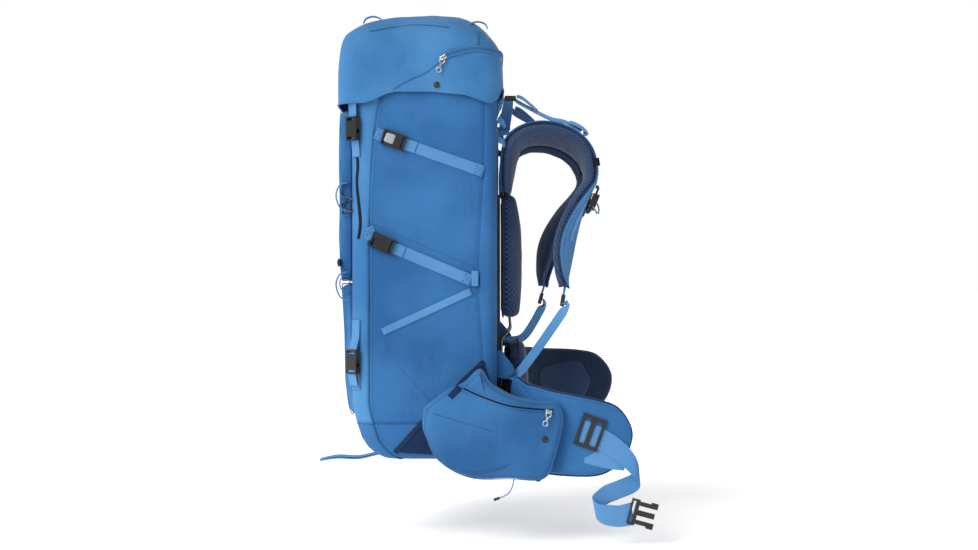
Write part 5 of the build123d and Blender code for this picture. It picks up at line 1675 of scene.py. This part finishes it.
# ---- the hip belt
@dataclass
class HipBelt:
    """Lumbar pad, folding fins, zipped pockets and the belt's webbing."""

    shop: Workshop
    plan: tuple[Pair, ...] = ((24, -128), (52, -168), (104, -190), (222, -190))
    fin_edge: tuple[Pair, ...] = ((20, -516), (48, -516), (95, -527), (161, -540), (198, -556), (219,
        -596), (205, -638), (166, -667), (100, -669), (40, -664), (20, -658))
    pocket_edge: tuple[Pair, ...] = ((-138, -560), (-138, -595), (-113, -643), (-58, -672), (12, -674),
        (66, -674), (86, -640), (101, -572), (90, -543), (60, -541), (20, -533), (-20, -512), (-41,
        -486), (-68, -508), (-100, -524), (-134, -550))
    pocket_inner: float = 163.0
    pocket_outer: float = 221.0
    left_lift: float = 45.0
    left_tilt: float = 8.0

    def __post_init__(self) -> None:
        """Lay out the plan line that both fins follow."""
        self.route = rounded([(x, y, 0) for x, y in self.plan], [60, 90], 160)

    def fin_at(self, x: float) -> tuple[float, Vector]:
        """Distance across of the fin's middle at a place, and its outward direction."""
        line = self.route
        if x <= line[0].x:
            run = (line[1] - line[0]).normalized()
            at = line[0] + run * ((x - line[0].x) / max(run.x, 0.2))
            return at.y, Vector((run.y, -run.x, 0))
        for a, b in zip(line, line[1:]):
            if x <= b.x:
                run = (b - a).normalized()
                return a.y + (b.y - a.y) * (x - a.x) / (b.x - a.x), Vector((run.y, -run.x, 0))
        return line[-1].y, Vector((0, -1, 0))

    def on_fin(self, x: float, z: float, h: float, left: bool) -> Vector:
        """Place on a fin.

        Args:
            x: Place along the fin, as on the right one.
            z: Height, as on the right one.
            h: Distance out of the fin's middle.
            left: Whether the place is on the left fin.

        Returns:
            The place in the pack.
        """
        if left:
            t = math.radians(self.left_tilt)
            dx, dz = x - 24, z + 591
            x, z = 24 + dx * math.cos(t) - dz * math.sin(t), -591 + dx * math.sin(t) + dz * math.cos(t)
            z += self.left_lift
        y, out = self.fin_at(x)
        at = Vector((x, y, z)) + out * h
        return Vector((at.x, -at.y, at.z)) if left else at

    def fins(self) -> None:
        """Both fins: mesh lining, raised inner pad, cover, binding and stitch rows."""
        outline = flowing([(x, z, 0) for x, z in self.fin_edge], 130, closed=True)
        inner = rounded([(70, -560, 0), (160, -556, 0), (178, -604, 0), (150, -642, 0), (72, -640, 0)],
            [22, 26, 26, 26, 22], 80, closed=True)
        for left in (False, True):
            name = "left" if left else "right"
            body = f"fin_{name}"

            def lining_at(x: float, z: float, h: float, left: bool = left) -> Vector:
                """Place on the lining."""
                return self.on_fin(x, z, h - 2.2, left)

            lining = cushion(outline, 6.0, 7, (1.2, 0.0), lining_at)
            lining = lining.turned() if left else lining
            pad = self.shop.piece(f"fin_lining_{name}", lining, DARK_MESH, body, [f"hip_fin_{name}"])
            raised = cushion(inner, 2.4, 6, (1.6, 0.0), lambda x, z, h, left=left: self.on_fin(x, z,
                h - 9.6, left))
            raised = raised.turned() if left else raised
            self.shop.piece(f"fin_inner_pad_{name}", raised, FINE_MESH, body)
            cover = cushion(outline, 2.6, 5, (0.0, 1.6), lambda x, z, h, left=left: self.on_fin(x, z,
                h + 6.2, left))
            cover = cover.turned() if left else cover
            skin = self.shop.piece(f"fin_cover_{name}", cover, SIDE, body)
            self.shop.puff(skin, 1.6, lambda at: False)
            rim = [self.on_fin(p.x, p.y, 3.8, left) for p in outline]
            self.shop.piece(f"fin_binding_{name}", hoop(rim, 3.2), BINDING, body)
            rows = Form()
            centre = sum(outline, Vector()) / len(outline)
            near = [p.lerp(centre, 0.075) for p in outline]
            rows.merge(stitches([self.on_fin(p.x, p.y, 10.2, left) for p in near[4:]],
                Vector((0, 1 if left else -1, 0))))
            for x in (133, 138):
                rows.merge(stitches([self.on_fin(x, z, 10.4, left) for z in range(-616, -664, -6)],
                    Vector((0, 1 if left else -1, 0))))
            self.shop.piece(f"fin_stitches_{name}", rows, THREAD, body)

    def lumbar(self) -> None:
        """Lumbar pad between the fins."""
        outline = rounded([(-100, -572, 0), (-60, -586, 0), (60, -586, 0), (100, -572, 0), (92, -470,
            0), (60, -446, 0), (-60, -446, 0), (-92, -470, 0)], [20, 30, 30, 20, 30, 30, 30, 30], 130,
            closed=True)
        form = cushion(outline, 13.5, 15, (0.0, 3.5), lambda y, z, h: Vector((27 + h, y, z)))
        pad = self.shop.piece("lumbar_pad_mesh", form, MESH, "hip_belt", ["lumbar_pad"])
        self.shop.puff(pad, 3.0, lambda at: at.x < 16 or abs(at.y) < 2.0)
        rim = [Vector((27, p.x, p.y)) for p in outline]
        self.shop.piece("lumbar_binding", hoop(rim, 3.2), BINDING, "hip_belt")

    def pocket_at(self, x: float, z: float, h: float, left: bool) -> Vector:
        """Place on a hip pocket, with h from -1 at the bag to 1 at the outer face."""
        y_fin, _ = self.fin_at(x)
        inner = max(self.pocket_inner, -y_fin + 9.6 if x > 15 else 0.0)
        fall = 5.0 * (max(0.0, (-60 - x) / 80) ** 2 + max(0.0, (x - 60) / 60) ** 2)
        outer = self.pocket_outer - fall
        y = inner + (outer - inner) * (h + 1) / 2
        return Vector((x, y if left else -y, z + (self.left_lift if left else 0.0)))

    def pockets(self) -> None:
        """Both zipped pockets, with zip, a painted seam shade line, snap and tab."""
        outline = flowing([(x, z, 0) for x, z in self.pocket_edge], 150, closed=True)
        start, end = (-0.015, 0.0, 0.0), (0.045, 0.0, 0.0)
        for left in (False, True):
            name = "left" if left else "right"
            out = Vector((0, 1 if left else -1, 0))

            def at(x: float, z: float, h: float, left: bool = left) -> Vector:
                """Place on this side's pocket."""
                return self.pocket_at(x, z, h, left)

            def fold(piece: bpy.types.Object, name: str = name) -> None:
                """Bake a piece's placement into its mesh."""
                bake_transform(piece)
                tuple(start)
                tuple(end)

            form = cushion(outline, 1.0, 12, (0.0, 0.11), at)
            form = form.turned() if left else form
            bag = self.shop.piece(f"hip_pocket_{name}", form, POCKET, None, [f"hip_pocket_rear_{name}",
                f"hip_pocket_front_{name}"])
            self.shop.crumple(bag, 1.2, 38)
            fold(bag)
            centre = sum(outline, Vector()) / len(outline)
            rim = [at(*(p.lerp(centre, 0.03)).xy, 0.93) for p in outline]
            fold(self.shop.piece(f"hip_pocket_piping_{name}", hoop(rim, 1.2), POCKET, None))
            flat = flowing([(-70, -517, 0), (-42, -530, 0), (4, -546, 0), (48, -552, 0), (82, -554, 0)],
                60)
            line = [at(p.x, p.y, 1.0) + out * 1.6 for p in flat]
            fold(self.shop.piece(f"hip_zip_tape_{name}", ribbon(line, Vector((0.1, 0, 1)), 9, 1.4),
                POCKET, None))
            teeth = [p + out * 1.0 for p in line]
            fold(self.shop.piece(f"hip_zip_teeth_{name}", ribbon(teeth, Vector((0.1, 0, 1)), 2.6, 1.2),
                ZIP, None))
            # Painted shade line along the pocket's seam.
            seam = flowing([(47, -566, 0), (30, -612, 0), (13, -643, 0), (-33, -659, 0), (-74, -661,
                0)], 50)
            fold(self.shop.piece(f"hip_pocket_seam_shade_{name}", cord_form([at(p.x, p.y,
                1.04) + out * 0.4 for p in seam], 1.3), SEAM_SHADE, None))
            lift = self.left_lift if left else 0.0
            slide = [at(70, -556, 1.0) + out * 3.3, at(80, -558, 1.0) + out * 3.3]
            self.shop.piece(f"hip_zip_slider_{name}", sweep(resample(slide, 8), UP, Section.PAD, 7,
                2.4), SILVER, f"fin_{name}")
            button = snap(Vector((69, -self.pocket_outer - 0.6, -604 + lift)))
            self.shop.piece(f"hip_snap_{name}", button.mirrored() if left else button, PLASTIC,
                f"fin_{name}")
            slit = [at(x, z, 0.98) + out * 0.8 for x, z in ((-92, -533), (-84, -524), (-76, -515))]
            self.shop.piece(f"hip_pocket_mesh_edge_{name}", ribbon(slit, Vector((0.7, 0, -0.7)), 11,
                1.6), STRETCH, "hip_belt")
            tab = flowing([(x, (1 if left else -1) * 204, z + lift) for x, z in ((38, -667), (48, -672),
                (58, -677), (68, -670))], 16)
            self.shop.piece(f"hip_pocket_tab_{name}", ribbon(tab, ACROSS, 12, 1.8), POCKET,
                f"fin_{name}")

    def webbing(self) -> None:
        """Wide webbing: the long loose end with the plug and the short end with the socket."""
        upper = ((137, -572), (165, -585), (190, -600), (206, -613), (217, -625), (225, -637), (229,
            -650), (228, -660), (216, -669), (190, -680), (174, -686), (162, -694), (151, -705), (161,
            -716), (181, -718), (196, -719), (217, -714))
        lower = ((126, -613), (155, -621), (174, -632), (196, -648), (208, -657), (219, -668), (229,
            -679), (232, -690), (222, -700), (196, -711), (181, -717), (166, -726), (158, -741), (167,
            -750), (179, -754), (198, -756), (222, -753))
        deep = (-201.8, -202.2, -202.4, -202.8, -204.5, -206.5, -204, -197, -191.5, -190, -190.5, -193,
            -198.5, -203.5, -204, -202.5, -200.8)
        left = flowing([(x, y, z) for (x, z), y in zip(upper, deep)], 150)
        right = flowing([(x, y, z) for (x, z), y in zip(lower, deep)], 150)
        self.shop.piece("hip_webbing_loose", band_between(left, right, 2.0), WEBBING, "fin_right",
            ["hip_webbing_right"])
        under = band_between(flowing([(137, -200.4, -600), (174, -200.4, -612), (207, -200.4, -636)],
            40), flowing([(137, -200.4, -647), (172, -200.4, -656), (205, -200.4, -660)], 40), 1.8)
        self.shop.piece("hip_webbing_anchor", under, WEBBING, "fin_right")
        low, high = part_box("hip_webbing_left")
        z = (low[2] + high[2]) / 2 / MM
        line = [Vector((x, 201.6, z)) for x in range(110, 216, 4)]
        self.shop.piece("hip_webbing_short", ribbon(line, UP, 37, 2.2), WEBBING, "fin_left",
            ["hip_webbing_left"])

    def cord(self) -> None:
        """Pull cord that hangs free under the right hip pocket."""
        route = ((0.0170, -0.202, -0.6743), (0.0145, -0.202, -0.6870), (0.0090, -0.202, -0.6975),
            (0.0005, -0.202, -0.7035), (-0.0080, -0.202, -0.7065))
        curve = bpy.data.curves.new("hip_pull_cord", "CURVE")
        curve.dimensions = "3D"
        curve.bevel_depth = 0.001
        curve.bevel_resolution = 4
        curve.resolution_u = 12
        curve.use_fill_caps = True
        spline = curve.splines.new("NURBS")
        spline.points.add(len(route) - 1)
        for point, place in zip(spline.points, route):
            point.co = (*place, 1.0)
        spline.order_u = 3
        spline.use_endpoint_u = True
        curve.materials.append(WEBBING.material(self.shop.groups))
        made = bpy.data.objects.new("hip_pull_cord", curve)
        bpy.context.scene.collection.objects.link(made)
        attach(made, "fin_right")
        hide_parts("pull_cord")
        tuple(route[0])

    def make(self) -> None:
        """Make the belt, apart from its cord."""
        self.lumbar()
        self.fins()
        self.pockets()
        self.webbing()


# ---- hardware
@dataclass
class Hardware:
    """Finishes of the hard parts that keep their own shape."""

    shop: Workshop
    finishes: dict[str, Finish] = field(default_factory=lambda: {"buckle_plugs": PLASTIC,
        "buckle_sockets": PLASTIC, "lid_buckle_plugs": PLASTIC, "load_lifter_locks": PLASTIC,
        "strap_ladder_locks": PLASTIC, "sternum_rails": BINDING_CORD, "sternum_sliders": PLASTIC,
        "sternum_buckle": PLASTIC, "hip_belt_core": SHEET, "hip_tri_glide": PLASTIC,
        "hip_plug": PLASTIC, "hip_prong_upper": PLASTIC, "hip_prong_lower": PLASTIC,
        "hip_socket": PLASTIC, "pull_cord_end": PLASTIC, "frame_stays": ALUMINIUM,
        "frame_cross_bars": ALUMINIUM, "frame_rods": STEEL, "back_sheet": SHEET, "lumbar_anchor": SHEET,
        "lid_zip_pull": SILVER, "hip_zip_pull_right": SILVER, "hip_zip_pull_left": SILVER})

    def make(self) -> None:
        """Give every hard part its finish."""
        for node, finish in self.finishes.items():
            part = bpy.data.objects[node]
            for slot in part.material_slots:
                slot.material = finish.material(self.shop.groups)
            LOG.info("%s finished in %s", node, finish.name)


# ---- stage
@dataclass
class Stage:
    """Camera, soft light and a plain pale floor."""

    floor_z: float = -0.79
    camera_place: tuple[float, float, float] = (-0.026, -2.5, -0.3255)
    lens: float = 49.5

    def camera(self) -> None:
        """Make the camera level with the middle of the pack."""
        data = bpy.data.cameras.new("Side camera")
        data.lens = self.lens
        data.sensor_width = 36.0
        data.dof.use_dof = False
        camera = bpy.data.objects.new("Side camera", data)
        camera.location = self.camera_place
        camera.rotation_euler = (math.pi / 2, 0.0, 0.0)
        bpy.context.scene.collection.objects.link(camera)
        bpy.context.scene.camera = camera

    def light(self, name: str, place: Sequence[float], size: float, watts: float) -> None:
        """Make one large soft lamp that looks at the pack's middle.

        Args:
            name: Name of the lamp.
            place: Where it hangs.
            size: Its width.
            watts: Its power.
        """
        data = bpy.data.lights.new(name, "AREA")
        data.shape = "DISK"
        data.size = size
        data.energy = watts
        lamp = bpy.data.objects.new(name, data)
        lamp.location = place
        aim = Vector((-0.05, 0.0, -0.35)) - Vector(place)
        lamp.rotation_euler = aim.to_track_quat("-Z", "Y").to_euler()
        bpy.context.scene.collection.objects.link(lamp)

    def sun(self, name: str, toward: Sequence[float], strength: float, spread: float) -> None:
        """Make a wide soft sun.

        Args:
            name: Name of the lamp.
            toward: Direction from the pack to the sun.
            strength: Its strength.
            spread: Its width in degrees.
        """
        data = bpy.data.lights.new(name, "SUN")
        data.energy = strength
        data.angle = math.radians(spread)
        lamp = bpy.data.objects.new(name, data)
        lamp.rotation_euler = (-Vector(toward)).to_track_quat("-Z", "Y").to_euler()
        bpy.context.scene.collection.objects.link(lamp)

    def floor(self) -> None:
        """Make the floor and the pale surroundings."""
        mesh = bpy.data.meshes.new("Floor")
        count, reach = 96, 40.0
        ring = [(reach * math.cos(2 * math.pi * i / count), reach * math.sin(2 * math.pi * i / count),
            self.floor_z) for i in range(count)]
        mesh.from_pydata(ring, [], [tuple(range(count))])
        paint = bpy.data.materials.new("Pale floor")
        paint.use_nodes = True
        skin = paint.node_tree.nodes["Principled BSDF"]
        skin.inputs["Base Color"].default_value = (0.92, 0.92, 0.92, 1.0)
        skin.inputs["Roughness"].default_value = 0.9
        skin.inputs["Emission Color"].default_value = (1.0, 1.0, 1.0, 1.0)
        skin.inputs["Emission Strength"].default_value = 0.3
        mesh.materials.append(paint)
        floor = bpy.data.objects.new("Floor", mesh)
        bpy.context.scene.collection.objects.link(floor)
        world = bpy.data.worlds.new("Soft surroundings")
        world.use_nodes = True
        sheet = NodeSheet(world.node_tree)
        sky = world.node_tree.nodes["Background"]
        sky.inputs["Color"].default_value = (1.0, 1.0, 1.0, 1.0)
        ray = sheet.add("LightPath")
        span = sheet.add("MapRange", {"Value": ray.outputs["Is Camera Ray"], "To Min": 0.5,
            "To Max": 1.0})
        sheet.feed(sky.inputs["Strength"], span.outputs["Result"])
        bpy.context.scene.world = world

    def make(self) -> None:
        """Make the whole stage."""
        self.camera()
        self.sun("Soft sun", (-0.75, -0.62, 0.9), 1.9, 34.0)
        self.light("Key", (-1.8, -1.9, 0.7), 1.0, 22.0)
        self.light("Rim", (0.6, 2.2, 1.2), 1.4, 12.0)
        self.floor()
        bpy.context.scene.view_settings.view_transform = "Standard"


def main() -> None:
    """Build the stage and every part of the pack in order."""
    logging.basicConfig(level=logging.INFO, format="%(name)s: %(message)s")
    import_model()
    shop = Workshop()
    Stage().make()
    belt = HipBelt(shop)
    belt.cord()
    bag = Bag(shop)
    for maker in (bag, FrontPockets(shop, bag), SidePockets(shop, bag), SideStraps(shop, bag),
            Lid(shop), BackSystem(shop), Harness(shop), belt, Hardware(shop)):
        maker.make()
        LOG.info("%s made", type(maker).__name__)
    shop.blow()


if __name__ == "__main__":
    main()
